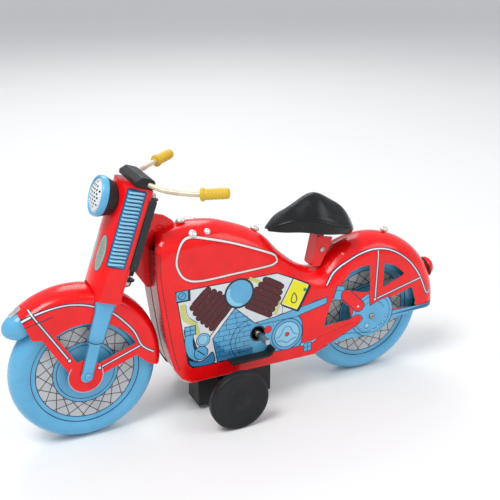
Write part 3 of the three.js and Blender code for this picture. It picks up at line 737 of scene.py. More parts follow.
def crankcase_art():
    """The crankcase and primary cover, in brick-like fins, with the chain guard behind."""
    mass = [(-86.6, 39.6), (-75, 53), (-64.9, 43.2), (-55, 44.1), (-26.2, 48.9), (-26, 45.2), (-41.4, 41.8),
            (-39.6, 39), (-39, 34), (-39.6, 27.4), (-41, 25.2), (-53.3, 25.2), (-72, 26.3), (-84.4, 27)]
    art = [([mass], NAVY), ([inset(mass, 0.45)], BLUE)]
    shade = [(-86, 39), (-84, 27.6), (-66, 26.6), (-66, 31), (-80, 31.4)]
    art.append(([shade], SHADE_BLUE))
    art += line([(-88.6, 39.8), (-76.4, 54.4)], 0.5, BLACK) + line([(-87.6, 39.4), (-75.6, 53.6)], 0.9, WHITE)
    rows = [50.2 - 2.6 * k for k in range(9)]
    for number, z in enumerate(rows):
        left = max(-85.6, -75 - (53 - z) * 0.85)
        right = min(-66.5 if z < 43 else 99, -75 + (53 - z) * 1.0)
        art += line([(left + 0.5, z), (right - 0.5, z)], 0.26)
        if number:
            for x in np.arange(left + 2.5 + 2.2 * (number % 2), right - 1, 5.2):
                art += line([(x, z), (x, z + 2.6)], 0.22)
    for radius, width in ((10.6, 0.34), (8.2, 0.26)):
        art += line(arc(-66.7, 34.6, radius, 95, 228, 26), width)
    art += line([(-65, 43), (-62, 41.6), (-41, 41.6)], 0.3)
    for x in (-56, -46, -36):
        art += line([(x, 43.9 + (x + 55) * 0.17), (x + 6, 44.2 + (x + 61) * 0.17)], 0.24)
    art += filled(circle(*WINDING_HOLE, 4.1), BLACK, 0.2)
    art += filled(circle(-58, 38.1, 2.0), RED, 0.25) + filled(circle(-54.4, 40.2, 0.8, 12), PALE_BLUE, 0.2)
    return art


def gear_cover_art():
    centre = (-47.8, 33.3)
    art = filled(circle(*centre, 8.4), BLUE, 0.4) + filled(circle(*centre, 6.8), PALE_BLUE, 0.34)
    arch = curve([(-5.6, -1.2), (-3.4, 0.2), (-1.8, 3.4), (0, 4.3), (1.8, 3.4), (3.4, 0.2), (5.6, -1.2)], 0.8)
    lower = curve([(-5.2, -2.6), (-2.6, -3), (0, -4.4), (2.6, -3), (5.2, -2.6)], 0.8)
    art += line(turned_to(arch, 0, centre), 0.3) + line(turned_to(lower, 0, centre), 0.3)
    return art + filled(circle(*centre, 1.25, 18), RED, 0.25)


def bracket_art():
    art = filled([(-40.4, 26.8), (-34, 27), (-30.6, 27.8), (-33.4, 25.6), (-40.4, 24.9)], PALE_BLUE, 0.3)
    art += filled(box(-38.6, 21.6, -34.2, 26.4), BLUE, 0.35)
    return art + line([(-36.4, 21.6), (-36.4, 26.4)], 0.3) + line([(-38.6, 24), (-34.2, 24)], 0.3)


def engine_art():
    panel = [(-103.8, 66.4), (-53.3, 66.4), (-44.4, 61.9), (-39, 56), (-41, 44), (-53, 43), (-64, 27),
             (-84, 26.4), (-96.6, 26.6), (-98.9, 29.4), (-100, 37.2), (-102, 52.8)]
    art = [([panel], BLACK), ([inset(panel, 0.5)], PANEL)]
    art += [([band(curve([(-100.4, 59.6), (-99.8, 53), (-95, 48.4), (-93.4, 43)]), 2.6)], PIPE)]
    art += [([band(curve([(-67.8, 66), (-63, 63.6), (-61, 60)]), 1.8)], PIPE)]
    art += [([band(curve([(-53, 55), (-52.4, 50), (-54.6, 45)]), 1.6)], PIPE)]
    art += line(curve([(-99, 59), (-98, 53.4), (-93.4, 49)]), 0.24)
    art += line(curve([(-54.4, 53), (-50.6, 49), (-50.6, 45)]), 0.24)
    art += filled(box(-103.4, 60.8, -96.6, 66.2), BLACK, 0.1)
    art += filled(box(-103.4, 61.4, -97.6, 66.2), BLUE, 0.2)
    art += loop_line(circle(-100.6, 63.8, 1.7, 20), 0.36) + line([(-101.6, 62.9), (-99.6, 64.7)], 0.34)
    art += cylinder_art((-80.8, 49.2), 44, 6, 14.2, 3.0)
    art += cylinder_art((-63.4, 48.2), -31, 6, 13.2, 2.9)
    art += crankcase_art() + carburettor_art() + gear_cover_art() + bracket_art() + oil_tank_art()
    art += filled(circle(-72.8, 59.7, 7.5, 48), BLUE, 0.95, BLACK)
    art += [([arc(-72.8, 59.7, 6.4, 150, 280, 24) + arc(-71.4, 60.6, 6.0, 270, 160, 20)], PALE_BLUE)]
    return art


def hub_art():
    """The blue brake plate, tail bar, damper and the ends of the red arms round the rear axle."""
    low = [(-30.5, 25), (-23.3, 21), (-13.3, 22), (0, 20.6), (9, 23.4), (13.4, 28.6), (52, 28.6), (52, 33.2),
           (12, 33.8), (-10, 33.4)]
    centre = (0.2, 33.9)
    art = [([low], NAVY), ([inset(low, 0.4)], BLUE)]
    art += filled(circle(*centre, 12.2, 60), BLUE, 0.4)
    art += loop_line(circle(*centre, 10.2, 50), 0.26)
    art += line(arc(*centre, 7.2, 20, 150, 20), 0.26) + line([(12, 31.2), (39, 31.6)], 0.34)
    art += line(curve([(-26, 24.8), (-14, 26.2), (-2, 24.6), (8, 28.4)], 1.4), 0.3)
    for angle in range(200, 345, 24):
        x, z = turned_to([(8.6, 0)], angle, centre)[0]
        art += filled(circle(x, z, 0.8, 12), PALE_BLUE, 0.2)
    art += filled(circle(-2.6, 28.2, 1.5, 16), PALE_BLUE, 0.25)
    frame_red = [(-28.8, 33.4), (-11.4, 34.6), (-7.6, 35.4), (-5.4, 32.8), (-7.6, 30.2), (-23, 23.6),
                 (-33, 20.4), (-38, 18), (-38, 32)]
    art += [([frame_red], RED)]
    lower_arm = [(-12.4, 34.6), (-8, 35.4), (-5.4, 32.8), (-7.6, 30.2), (-15, 26.8), (-23, 23.4), (-30, 20.6)]
    art += line(curve(lower_arm, 1), 0.4)
    art += line([(-34, 27), (-12, 31.6)], 0.24, DEEP_RED)
    post = [(-3, 62), (6, 62), (6, 47.6), (27, 44.8), (27, 52), (40, 52), (40, 33), (33, 33), (27.4, 34),
            (24, 45), (3.2, 40.6), (-1.4, 38.8)]
    art += [([post], RED)]
    art += line([(-2.4, 47), (-1.2, 39), (3.2, 40.8), (10.4, 42.5)], 0.4)
    art += line([(6, 61), (6, 47.8), (17, 52)], 0.3)
    damper, tilt = (-19.4, 49.4), -17
    art += filled(turned_to(rounded(box(-2.7, -3.9, 2.7, 3.9), 0.8), tilt, damper), BLUE, 0.5)
    art += line(turned_to([(-2.4, 1.2), (2.4, 1.2)], tilt, damper), 0.3)
    art += filled(capsule((-15.4, 47.6), (-7.8, 40), 6.4), RED, 0.5)
    return art + filled(circle(-8.3, 39.9, 0.75, 14), WHITE, 0.15)


def body_pinstripes():
    art = pinstripe(curve([(-26.4, 54.6), (-20.6, 60.8), (-13.3, 65.6), (-6, 68), (1.1, 68.6), (8.6, 67),
                           (15.6, 63.2), (22, 57.6), (27.2, 50.6), (30.2, 44.6), (32, 40.6), (33.6, 39),
                           (35.2, 40.2)], 1.1))
    art += pinstripe(straight((2, 67.7), (1.5, 43)))
    art += pinstripe(straight((2.6, 42.2), (28.3, 48.7)))
    # A deep red line just inside the front edge, as painted shade where the sheet rounds in at the corner.
    crease_shade = curve([(x + 2, z) for x, z in FRONT_EDGE], 2)
    art += line(crease_shade, 0.45, DEEP_RED)
    return art + printed_rivet((1.4, 41.9), 1.1)


def body_half(side):
    art = hub_art() + engine_art() + tank_art() + body_pinstripes()
    holes = [rounded(w, 0.6, 2) for w in BODY_WINDOWS]
    holes += [circle(*HUB, AXLE_HOLE_R, 20), circle(*WINDING_HOLE, 3.3, 32)]
    rolls = [shifted(ROLLED_EDGE, -EDGE_ROLL * share, False) for share in (0.1, 0.3, 0.6, 1)]
    mesh = printed_sheet(
        f"body_sheet_{HANDS[side]}", RED, [BODY_OUTLINE, BODY_EDGE], body_lift, BODY_FRAME, side,
        holes, art, rolls, crown_points(BODY_OUTLINE, BODY_CROWN) + grid_points((-110, 19), (40, 80), 3),
        # The sheets' inner sides are black paint, as painted shade for the shadowed inside of the body seen
        # through the windows.
        back=BLACK_PAINT,
    )
    return piece(mesh, "body", "red_tin", f"body_shell_{HANDS[side]}")


def front_flange(side):
    """The sheet folded in along the body's front edge, in a deep red that is painted shade."""
    edge = curve(FRONT_EDGE, 2)
    loop = edge + [(x + SHEET, z) for x, z in edge][::-1]
    mesh = slab(f"body_flange_{HANDS[side]}", [loop], -BODY_HALF + 1.6, -0.5, DEEP_RED, BODY_FRAME, side=side)
    return soften(piece(mesh, "body", "red_tin"), 0.25)


for side in (-1, 1):
    body_half(side)
    front_flange(side)


# ---- wheels ----

PRINT_Y = 4.5
PRINT_R = 23.6
SPOKES_FROM, SPOKES_TO = 14.4, 22
TYRE_R = 28
TYRE_HALF = 6
TYRE_WALL = 6.65


def wheel_lift(flat):
    """A flat printed disc with half a tyre pressed round it."""
    r = np.hypot(flat[:, 0], flat[:, 1])
    shoulder = TYRE_HALF * np.sqrt(np.maximum(0, 1 - ((TYRE_R - r) / TYRE_WALL) ** 2))
    tread = TYRE_HALF * np.sqrt(np.maximum(0, 1 - ((r - TYRE_R) / (WHEEL_R - TYRE_R)) ** 2))
    height = np.where(r < PRINT_R, PRINT_Y, np.where(r < TYRE_R, shoulder, tread))
    return raised(flat, height)


def spoke_layers(count=20, lean=27):
    """Two sets of straight spokes that cross each other."""
    layers = []
    for turn in (-1, 1):
        for k in range(count):
            angle = 360 * k / count + (4 if turn > 0 else 0)
            a = turned_to([(SPOKES_FROM, 0)], angle, (0, 0))[0]
            b = turned_to([(SPOKES_TO, 0)], angle + turn * lean, (0, 0))[0]
            layers.append(([band([a, b], 0.36)], BLACK))
    return layers


def wheel_art():
    art = [([circle(0, 0, 22.3, 72)], NAVY), ([circle(0, 0, 21.9, 72)], SPOKE_GROUND), *spoke_layers()]
    art += filled(circle(0, 0, 14.9, 60), BLUE, 0.35) + loop_line(circle(0, 0, 13.1, 54), 0.34)
    art += loop_line(circle(0, 0, 24.3, 90), 0.36)
    return art + filled(circle(0, 0, 4, 24), SHADE_BLUE, 0.3)


def wheel_half(body, place, side):
    rings = [circle(0, 0, r, 120) for r in (PRINT_R, 25, 26.4, TYRE_R, 29.5, 30.8, 31.8, 32.5, 32.85)]
    mesh = printed_sheet(
        f"{body}_sheet_{HANDS[side]}", BLUE, [circle(0, 0, WHEEL_R, 120)], wheel_lift, place, side,
        [AXLE_HOLE], wheel_art(), lines=[[*ring, ring[0]] for ring in rings], back=DULL_TIN,
    )
    return piece(mesh, body, "blue_tin", f"{body}_{HANDS[side]}")


for side in (-1, 1):
    wheel_half("front_wheel", FRONT_FRAME, side)
    wheel_half("rear_wheel", REAR_FRAME, side)


# ---- front fender ----

NOSE = np.array([-24.6, 28.0])
NOSE_ALONG = np.array([-0.36, 0.933])


def on_nose(distance):
    """A point on the line that the fender's nose is cut along."""
    return tuple(NOSE + NOSE_ALONG * distance)


def fender_loops():
    """The fender's side: a band, two stays and the ring round the axle."""
    rear_tip = [(38, 4), (36.4, 0.6), (34.6, -1.4), (32, -2), (29, -0.8), (26.6, 1), (21, 6.6)]
    edge = [on_nose(16), *arc(0, 0, 44, 118, 12, 40), *rear_tip, *arc(0, 0, 25.2, 24, 126, 30), on_nose(-6.6)]
    return [edge, capsule((-5, 3), (-19, 28), 5.4), capsule((4, 1.6), (26, 9.4), 5.6), circle(-1, 0, 8, 48)]


FENDER_OUTLINE = circle(*FRONT_FENDER_CENTRE, FRONT_FENDER_R, 120)


def fender_lift(flat):
    height = pillow_height(flat, FENDER_OUTLINE, FENDER_HALF, FENDER_CROWN)
    return raised(flat, height)


def fender_art():
    """White stripes with navy edges."""
    main = curve([(-28.2, 29.6), (-21.4, 32.8), (-14, 34.8), (-5.7, 35.2), (3.3, 33), (12.3, 28),
                  (17.3, 23), (21.8, 17), (24.6, 10.2), (27, 7.4), (30.4, 5)], 1.1)
    front_stay, rear_stay = (-7.5, 9.2), (5.3, 2.7)
    art = pinstripe(main)
    art += pinstripe(straight(front_stay, (-22.2, 34.8)))
    art += pinstripe(straight(rear_stay, (24.4, 9.4)))
    art += line(straight((-26, 28.2), (-13, 31.2)), 0.5)
    art += line(arc(-1, 0, 7.75, 140, 395, 40), 0.3, PALE_BLUE)
    for spot in (front_stay, rear_stay):
        art += printed_rivet(spot, 1.2)
    return art


def front_fender(side):
    hand = HANDS[side]
    crown = crown_points(FENDER_OUTLINE, FENDER_CROWN, 8)
    mesh = printed_sheet(
        f"front_fender_sheet_{hand}", RED, [FENDER_OUTLINE], fender_lift, FRONT_FRAME, side,
        [AXLE_HOLE], fender_art(), points=crown + grid_points((-30, -8), (36, 40), 3),
        any_of=fender_loops(), back=DULL_TIN,
    )
    return piece(mesh, "fork", "red_tin", f"front_fender_{hand}")


for side in (-1, 1):
    front_fender(side)


# ---- solid shapes ----


def sweep(name, path, radius, ink, place, segments=20):
    """A round bar along a path, with rounded ends."""
    path = [Vector(p) for p in path]
    ahead = [(b - a).normalized() for a, b in zip(path, path[1:])]
    ahead = [ahead[0], *((a + b).normalized() for a, b in zip(ahead, ahead[1:])), ahead[-1]]
    side = ahead[0].orthogonal().normalized()
    rings = []
    for point, along in zip(path, ahead):
        side = (side - along * side.dot(along)).normalized()
        other = along.cross(side)
        angles = [2 * math.pi * k / segments for k in range(segments)]
        rings.append([point + radius * (side * math.cos(a) + other * math.sin(a)) for a in angles])
    return loft(name, rings, ink, place)


def loft(name, rings, ink, place, sharp=40):
    """A closed skin through rings of points, with flat ends."""
    count = len(rings[0])
    points = [p for ring in rings for p in ring]
    faces = []
    for r in range(len(rings) - 1):
        for k in range(count):
            nxt = (k + 1) % count
            faces.append((r * count + k, r * count + nxt, (r + 1) * count + nxt, (r + 1) * count + k))
    faces.append(tuple(range(count)))
    faces.append(tuple((len(rings) - 1) * count + k for k in range(count)))
    mesh = add_mesh(name, moved(points, place), faces, [ink])
    turn_outward(mesh)
    mesh.set_sharp_from_angle(angle=math.radians(sharp))
    return mesh


def ball_profile(steps):
    """The profile of a ball about Y, with a radius of 1."""
    angles = np.radians(np.linspace(-90, 90, steps + 1))
    return [(max(0.0, math.cos(a)), math.sin(a)) for a in angles]


def dome_profile(radius, low, high, skirt=0.3):
    """A low dome with a short skirt, from y low to high."""
    profile = [(0, low), (radius, low), (radius, low + skirt)]
    angles = np.radians(np.linspace(15, 90, 7))
    rise = high - low - skirt
    return profile + [(max(0.0, radius * math.cos(a)), low + skirt + rise * math.sin(a)) for a in angles]


def at(base, x, y, z):
    return base @ Matrix.Translation((x, y, z))


def turned(angle, axis):
    return Matrix.Rotation(math.radians(angle), 4, axis)


UPRIGHT = turned(90, "X")
FACING_FRONT = turned(90, "Z")


# ---- fork ----

FORK_FRONT = -9
FORK_SHOULDER = -4
FORK_REAR = 4


def fork_plan():
    """The fork housing seen from above, from its right rear edge round the front to its left."""
    angles = np.linspace(math.pi / 2, -math.pi / 2, 61)
    depth = FORK_SHOULDER - FORK_FRONT
    front = [(FORK_SHOULDER - depth * math.cos(a), FORK_HALF * math.sin(a)) for a in angles]
    return np.array([(FORK_REAR, FORK_HALF), *front, (FORK_REAR, -FORK_HALF)])


PLAN = fork_plan()
PLAN_LENGTH = np.concatenate([[0], np.cumsum(np.linalg.norm(np.diff(PLAN, axis=0), axis=1))])
PLAN_LENGTH -= PLAN_LENGTH[-1] / 2
FORK_REACH = float(PLAN_LENGTH[-1])


def fork_lift(flat):
    """Wraps flat points, measured round the housing and up it, onto the housing."""
    s = np.clip(flat[:, 0], -FORK_REACH, FORK_REACH)
    over = flat[:, 0] - s
    x = np.interp(s, PLAN_LENGTH, PLAN[:, 0]) + np.abs(over)
    return np.column_stack([x, np.interp(s, PLAN_LENGTH, PLAN[:, 1]), flat[:, 1]])


def round_fork(x):
    """How far round the housing from its front a place at x on the left side is."""
    left = PLAN_LENGTH >= 0
    return float(np.interp(x, PLAN[left][:, 0], PLAN_LENGTH[left]))


def fork_low_edge():
    """The housing's lower edge, which clears the front fender's crown."""
    gap = 0.8
    c, s = math.cos(RAKE), math.sin(RAKE)
    x0, z0 = FRONT_FENDER_CENTRE
    centre = (x0 * c - z0 * s, x0 * s + z0 * c)
    edge = []
    for place in np.linspace(-FORK_REACH, FORK_REACH, 61):
        x = float(np.interp(place, PLAN_LENGTH, PLAN[:, 0]))
        y = float(np.interp(place, PLAN_LENGTH, PLAN[:, 1]))
        low = FORK_LOW
        if abs(y) < FENDER_HALF:
            crown = FENDER_CROWN * (1 - math.sqrt(1 - (y / FENDER_HALF) ** 2))
            radius = FRONT_FENDER_R + gap - crown
            low = max(low, centre[1] + math.sqrt(radius ** 2 - (x - centre[0]) ** 2))
        edge.append((place, low))
    return edge


def spring_art(side):
    """The printed fork spring: pale bands in a navy frame, on one side of the housing."""
    start, end = sorted((side * round_fork(-6.6), side * round_fork(1.6)))
    low, high = 51.8, 85.4
    frame_loop = rounded(box(start, low - 0.8, end, high + 0.8), 1.2)
    art = [([frame_loop], NAVY), ([inset(frame_loop, 0.45)], SHADE_BLUE)]
    bands = 20
    pitch = (high - low) / bands
    for k in range(bands):
        z = low + (k + 0.5) * pitch
        coil = straight((start + 1, z - 0.45 * side), (end - 1, z + 0.45 * side), 2)
        gap = straight((start + 0.6, z + pitch / 2), (end - 0.6, z + pitch / 2), 2)
        art += [([band(coil, pitch * 0.5)], PALE_BLUE), ([band(gap, 0.5)], NAVY)]
    return art


def badge_art(side):
    """A plain oval badge near the housing's front corner."""
    middle = side * round_fork(-8.55)
    angles = np.linspace(0, 2 * math.pi, 37)[:-1]
    oval = [(middle + 3.4 * math.cos(a), 55 + 8.4 * math.sin(a)) for a in angles]
    return [([oval], NAVY), ([inset(oval, 0.3)], BADGE)] + loop_line(inset(oval, 0.9), 0.25, PALE_BLUE)


def fork_housing():
    art = []
    for side in (-1, 1):
        art += spring_art(side)
        art += badge_art(side)
        # A deep red line near each rear edge, as painted shade along the fold into the flange.
        fold = side * (FORK_REACH - 0.9)
        art += line(straight((fold, 40), (fold, 86)), 0.3, DEEP_RED)
    top = [(FORK_REACH, FORK_HIGH), (-FORK_REACH, FORK_HIGH)]
    # The housing's inner side is black paint, as painted shade for its shadowed inside.
    mesh = printed_sheet(
        "fork_sheet", RED, [fork_low_edge() + top], fork_lift, FORK_FRAME, layers=art,
        points=grid_points((-FORK_REACH, 36), (FORK_REACH, FORK_HIGH), 1.1), back=BLACK_PAINT,
    )
    return piece(mesh, "fork", "red_tin", "fork_housing")


def fork_web(name, height):
    """A crosswise web with an ear for the steering pin."""
    ear = 3.2
    half = FORK_HALF - SHEET - 0.2
    plan = [(-5, -half), (3.2, -half), (5.5, -ear), *arc(PIN_BACK, 0, ear, -90, 90, 12),
            (5.5, ear), (3.2, half), (-5, half)]
    # The webs are black paint, as painted shade like the housing's shadowed inside.
    mesh = slab(name, [plan], 0, SHEET, BLACK_PAINT, at(FORK_FRAME, 0, 0, height) @ UPRIGHT,
                [circle(PIN_BACK, 0, 1.3, 20)])
    return soften(piece(mesh, "fork", "black_tin"), 0.15)


def fork_leg(side):
    """A printed leg, wider at its top, with a tongue up inside the housing."""
    foot = arc(-0.8, 0, 2.7, 180, 360, 20)
    rear = [(1.5, 15), (2.3, 16.4), (2.2, 30), (3.0, 34.4), (2.2, 35), (2.2, 40)]
    front = [(-5.6, 40), (-5.6, 35), (-6.6, 34.4), (-5.7, 30), (-5.2, 16.4), (-4.3, 15)]
    outline = [*foot, *rear, *front]
    outer = 9.6

    def lift(flat):
        bow = 0.35 * np.clip(1 - np.abs(flat[:, 0] + 1.2 + 0.02 * flat[:, 1]) / 4.2, 0, 1) ** 0.5
        return np.column_stack([flat[:, 0], -outer + 0.2 - 0.5 * bow, flat[:, 1]])

    edge_front = [(-3.4, 1), (-4.2, 15), (-5.1, 16.4), (-5.6, 30), (-6.4, 34)]
    edge_rear = [(1.8, 1), (1.4, 15), (2.2, 16.4), (2.1, 30), (2.8, 34)]
    art = [([band(edge_front, 0.8)], SHADE_BLUE), ([band(edge_rear, 0.8)], SHADE_BLUE)]
    joint = curve([(-5.2, 16.8), (-3.6, 15.9), (-1.6, 15.6), (0.4, 15.9), (2.2, 16.8)], 0.8)
    art += line(joint, 0.5) + line(shifted(joint, 0.9, False), 0.25, SHADE_BLUE)
    hand = HANDS[side]
    mesh = printed_sheet(f"fork_leg_sheet_{hand}", BLUE, [outline], lift, FORK_FRAME, side,
                         [circle(0, 0, 1.4, 20)], art, points=grid_points((-6, 0), (3, 34), 1.6))
    return piece(mesh, "fork", "blue_tin", f"fork_leg_{hand}")


def fork_flange(side):
    """The edge strip turned straight back behind the housing, black like the inside, as painted shade for the
    shadowed inside of the housing.
    """
    edge = FORK_HALF - 0.5
    place = at(FORK_FRAME, 0, side * edge, 0) @ turned(180, "Z")
    strip = rounded(box(-7.2, 51, -3.4, 83), 1)
    mesh = slab(f"fork_flange_{HANDS[side]}", [strip], 0, 0.5, BLACK, place, side=side)
    return soften(piece(mesh, "fork", "black_tin"), 0.12)


fork_housing()
for side in (-1, 1):
    fork_flange(side)
fork_web("fork_web_low", 43.6)
fork_web("fork_web_high", 81.2)
for side in (-1, 1):
    fork_leg(side)


# ---- headlamp ----

LAMP = at(FORK_FRAME, 0, 0, LAMP_HEIGHT) @ FACING_FRONT


def lamp_bucket():
    profile = [(5.2, 4), (5.6, 4.2), (6.2, 6), (7.2, 9), (8.0, 11.6), (8.5, 12.9), (8.1, 12.9), (7.4, 10.6),
               (5.6, 6), (4.8, 4.4)]
    mesh = lathe("lamp_shell", profile, BLACK_PAINT, LAMP, 72)
    return piece(mesh, "fork", "black_tin", "headlamp_bucket")


def lamp_rim():
    """A rolled ring round the lens."""
    profile = [(7.8, 13.1), (8.6, 13.1), (8.85, 13.6), (8.9, 14.6), (8.75, 15.5), (8.5, 16), (8.2, 16.2),
               (7.9, 16.1), (7.75, 15.7), (7.75, 13.4)]
    mesh = lathe("lamp_ring", profile, BLUE, LAMP, 96, sharp=60)
    return piece(mesh, "fork", "blue_tin", "headlamp_rim")


def lens_art():
    """Rows of black dots, with short dashes round the edge."""
    art = []
    pitch = 1.7
    for row in range(-4, 5):
        for column in range(-4, 5):
            x = (column + 0.5 * (row % 2)) * pitch
            z = row * pitch * 0.87
            if math.hypot(x, z) < 6.1:
                art.append(([circle(x, z, 0.5, 12)], BLACK))
    for k in range(40):
        mark = turned_to(box(6.8, -0.14, 7.4, 0.14), 9 * k, (0, 0))
        art.append(([mark], BLACK))
    return art


def lamp_lens():
    lens_r = 7.7

    def lift(flat):
        rise = 2.6 * (1 - (np.hypot(flat[:, 0], flat[:, 1]) / lens_r) ** 2)
        return np.column_stack([-15.4 - rise, -flat[:, 0], flat[:, 1]])

    rings = [[*circle(0, 0, r, 48), (r, 0)] for r in (1.5, 3, 4.5, 6, 7)]
    place = at(FORK_FRAME, 0, 0, LAMP_HEIGHT)
    mesh = printed_sheet("lamp_lens", PANEL, [circle(0, 0, lens_r, 72)], lift, place, layers=lens_art(),
                         lines=rings, thickness=1.2)
    return piece(mesh, "fork", "lens", "headlamp_lens")


lamp_bucket()
lamp_rim()
lamp_lens()


# ---- handlebar ----

BAR = [(0, 0, 89.4), (0.4, -8.6, 89.2), (7, -16.9, 89.4), (17, -27.1, 93), (24.6, -32.5, 96.6)]


def smooth_path(points, steps=8):
    """A smooth line through points in space."""
    p = [2 * np.array(points[0]) - np.array(points[1]), *map(np.array, points)]
    p.append(2 * p[-1] - p[-2])
    out = []
    for a, b, c, d in zip(p, p[1:], p[2:], p[3:]):
        for t in np.arange(steps) / steps:
            out.append(between(a, b, c, d, t))
    return [*out, p[-2]]


def handlebar():
    left = [np.array(p, float) for p in BAR]
    right = [p * (1, -1, 1) for p in left]
    path = smooth_path([*reversed(right), *left[1:]])
    mesh = sweep("bar", path, 1.1, BAR_METAL, FORK_FRAME)
    return piece(mesh, "fork", "bare_tin", "handlebar")


def grip(side):
    """A ribbed plastic grip with a wide collar at its inner end."""
    inner, outer = (Vector((p[0], -side * p[1], p[2])) for p in (BAR[3], BAR[4]))
    along = (outer - inner).normalized()
    tilt = Vector((0, 1, 0)).rotation_difference(along).to_matrix().to_4x4()
    start = inner + along * 0.2
    profile = [(0, 0), (2.5, 0), (2.8, 0.3), (2.8, 1.3), (2.5, 1.6), (2.25, 2.0)]
    ribs = 5
    for k in range(ribs):
        y = 2.6 + 1.45 * k
        profile += [(2.2, y), (2.4, y + 0.4), (2.4, y + 0.8), (2.2, y + 1.15)]
    profile += [(2.3, 10.4), (2.2, 11.2), (1.8, 11.8), (1.1, 12), (0, 12)]
    hand = HANDS[side]
    mesh = lathe(f"bar_grip_{hand}", profile, GRIP_YELLOW, at(FORK_FRAME, *start) @ tilt, 40, sharp=70)
    return piece(mesh, "fork", "grip_plastic", f"grip_{hand}")


def bar_clamp():
    """A folded tin saddle over the bar, with turned-down ends."""
    outline = [(-4.6, 87.4), (-4.8, 89.2), (-2.4, 91.6), (2.6, 91.6), (3.6, 90.8), (4.1, 89.6), (4, 87.4)]
    mesh = slab("bar_clamp", [outline], -11.2, 11.2, BLACK_PAINT, FORK_FRAME)
    return soften(piece(mesh, "fork", "black_tin", "handlebar_clamp"), 0.5)


handlebar()
bar_clamp()
for side in (-1, 1):
    grip(side)


# ---- steering ----

STEER_LOCAL = at(FORK_FRAME, PIN_BACK, 0, 0) @ UPRIGHT


def steering_bracket():
    outline = [(-109.6, 100.4), (-103.6, 98.6), (-99.4, 95.4), (-99.4, 66), (-113, 66), (-119.4, 76.2)]
    plate = slab("steering_plate", [rounded(outline, 1.2)], -0.6, 0.6, RED, BODY_FRAME)
    soften(piece(plate, "body", "red_tin", "steering_bracket"), 0.2)
    wall = [(1.2, 46), (2.1, 46), (2.1, 80), (1.2, 80)]
    tube = lathe("steering_knuckle", wall, BLACK_PAINT, STEER_LOCAL, 40)
    soften(piece(tube, "body", "black_tin"), 0.15)
    for side in (-1, 1):
        mark = lathe(f"steering_mark_{HANDS[side]}",
                     [(1.5, 0.55 * side), (1.9, 0.85 * side), (2.3, 0.85 * side), (2.7, 0.55 * side)], RED,
                     at(BODY_FRAME, -105.6, 0, 92.6), 32)
        piece(mark, "body", "red_tin")


def steering_pin():
    low_head = [(0, 40.4), (1.2, 40.5), (2, 41.2), (2.2, 42), (2.2, 43.1)]
    high_head = [(1.8, 82.3), (1.8, 83.2), (1.5, 83.8), (0.8, 84), (0, 84)]
    profile = [*low_head, (0.9, 43.1), (0.9, 82.3), *high_head]
    mesh = lathe("steering_rivet", profile, STEEL, STEER_LOCAL, 32)
    return piece(mesh, "fork", "steel", "steering_pin")


steering_bracket()
steering_pin()


# ---- fender lamp, tail lamp and small trim ----


def pushed_out(mesh, centre, radius):
    """Moves what lies within a cylinder about Y out to its surface."""
    for vertex in mesh.vertices:
        away = Vector((vertex.co.x / MM - centre.x, vertex.co.z / MM - centre.z))
        if away.length < radius:
            away = away.normalized() * radius
            vertex.co.x = (centre.x + away.x) * MM
            vertex.co.z = (centre.z + away.y) * MM
    mesh.update()
    return mesh


def fender_lamp():
    """A bullet lamp on the fender's nose, with the bent tab that holds it."""
    place = at(FRONT_FRAME, -24.2, 0, 26.4) @ turned(-14, "Y") @ FACING_FRONT
    profile = [(0, -1.2), (5.9, -1.2), (6.4, -0.6), (6.5, 0.4), (6.3, 2), (5.8, 3.6), (5.0, 5.4), (4.0, 7),
               (2.7, 8.3), (1.4, 9), (0, 9.2)]
    mesh = pushed_out(lathe("nose_lamp", profile, BLUE, place, 56, sharp=50), FRONT, WHEEL_R + 0.7)
    piece(mesh, "fork", "blue_tin", "fender_lamp")
    over_nose = band(curve([(-24.6, 34.3), (-26.6, 32.9), (-29.4, 31.2)], 0.8), 0.5)
    tab = slab("nose_lamp_tab", [over_nose], -1.6, 1.6, PLATED, FRONT_FRAME)
    soften(piece(tab, "fork", "bare_tin"), 0.1)


def tail_lamp():
    clear_of_sheet = FENDER_R + 0.2
    tilt = 22
    x, z = turned_to([(FENDER_R + 0.4, 0)], tilt, (0, 0))[0]
    place = at(REAR_FRAME, x, 0, z) @ turned(-tilt, "Y") @ turned(-90, "Z") @ Matrix.Diagonal((1, 1, 1.15, 1))
    profile = [(0, -0.6), (4.5, -0.6), (4.7, 0), (4.6, 1.4), (3.9, 3), (2.7, 4.1), (1.3, 4.6), (0, 4.7)]
    mesh = pushed_out(lathe("tail_lens", profile, RED, place, 48, sharp=50), REAR, clear_of_sheet)
    piece(mesh, "body", "red_tin", "tail_lamp")
    ring = lathe("tail_ring", [(4.4, -0.2), (5.0, -0.2), (5.0, 0.9), (4.4, 0.9)], BLACK_PAINT, place, 48)
    soften(piece(pushed_out(ring, REAR, clear_of_sheet), "body", "black_tin"), 0.15)


def seam_tabs():
    """Tongues of bare tin folded over the seam."""
    tabs = {"tank": (-96, 93.6, 0.1), "saddle": (-59.6, 84.2, -0.5), "fender": (12.2, 72.2, -0.3)}
    for name, (x, z, slope) in tabs.items():
        place = at(BODY_FRAME, x, 0, z + 1.3) @ turned(-math.degrees(math.atan(slope)), "Y")
        place = place @ Matrix.Diagonal((2.3, 1.8, 1.3, 1))
        mesh = lathe(f"tab_{name}", ball_profile(14), PLATED, place, 32)
        piece(mesh, "body", "bare_tin", f"seam_tab_{name}")


def tank_caps():
    for size, x, radius in (("large", -93.7, 1.9), ("small", -86.9, 1.5)):
        for side in (-1, 1):
            hand = HANDS[side]
            place = at(BODY_FRAME, x, side * 8.6, 91.2) @ turned(90 - side * 44, "X")
            mesh = lathe(f"cap_{size}_{hand}", dome_profile(radius, -0.3, 0.9), PLATED, place, 36, sharp=60)
            piece(mesh, "body", "bare_tin", f"tank_cap_{size}_{hand}")


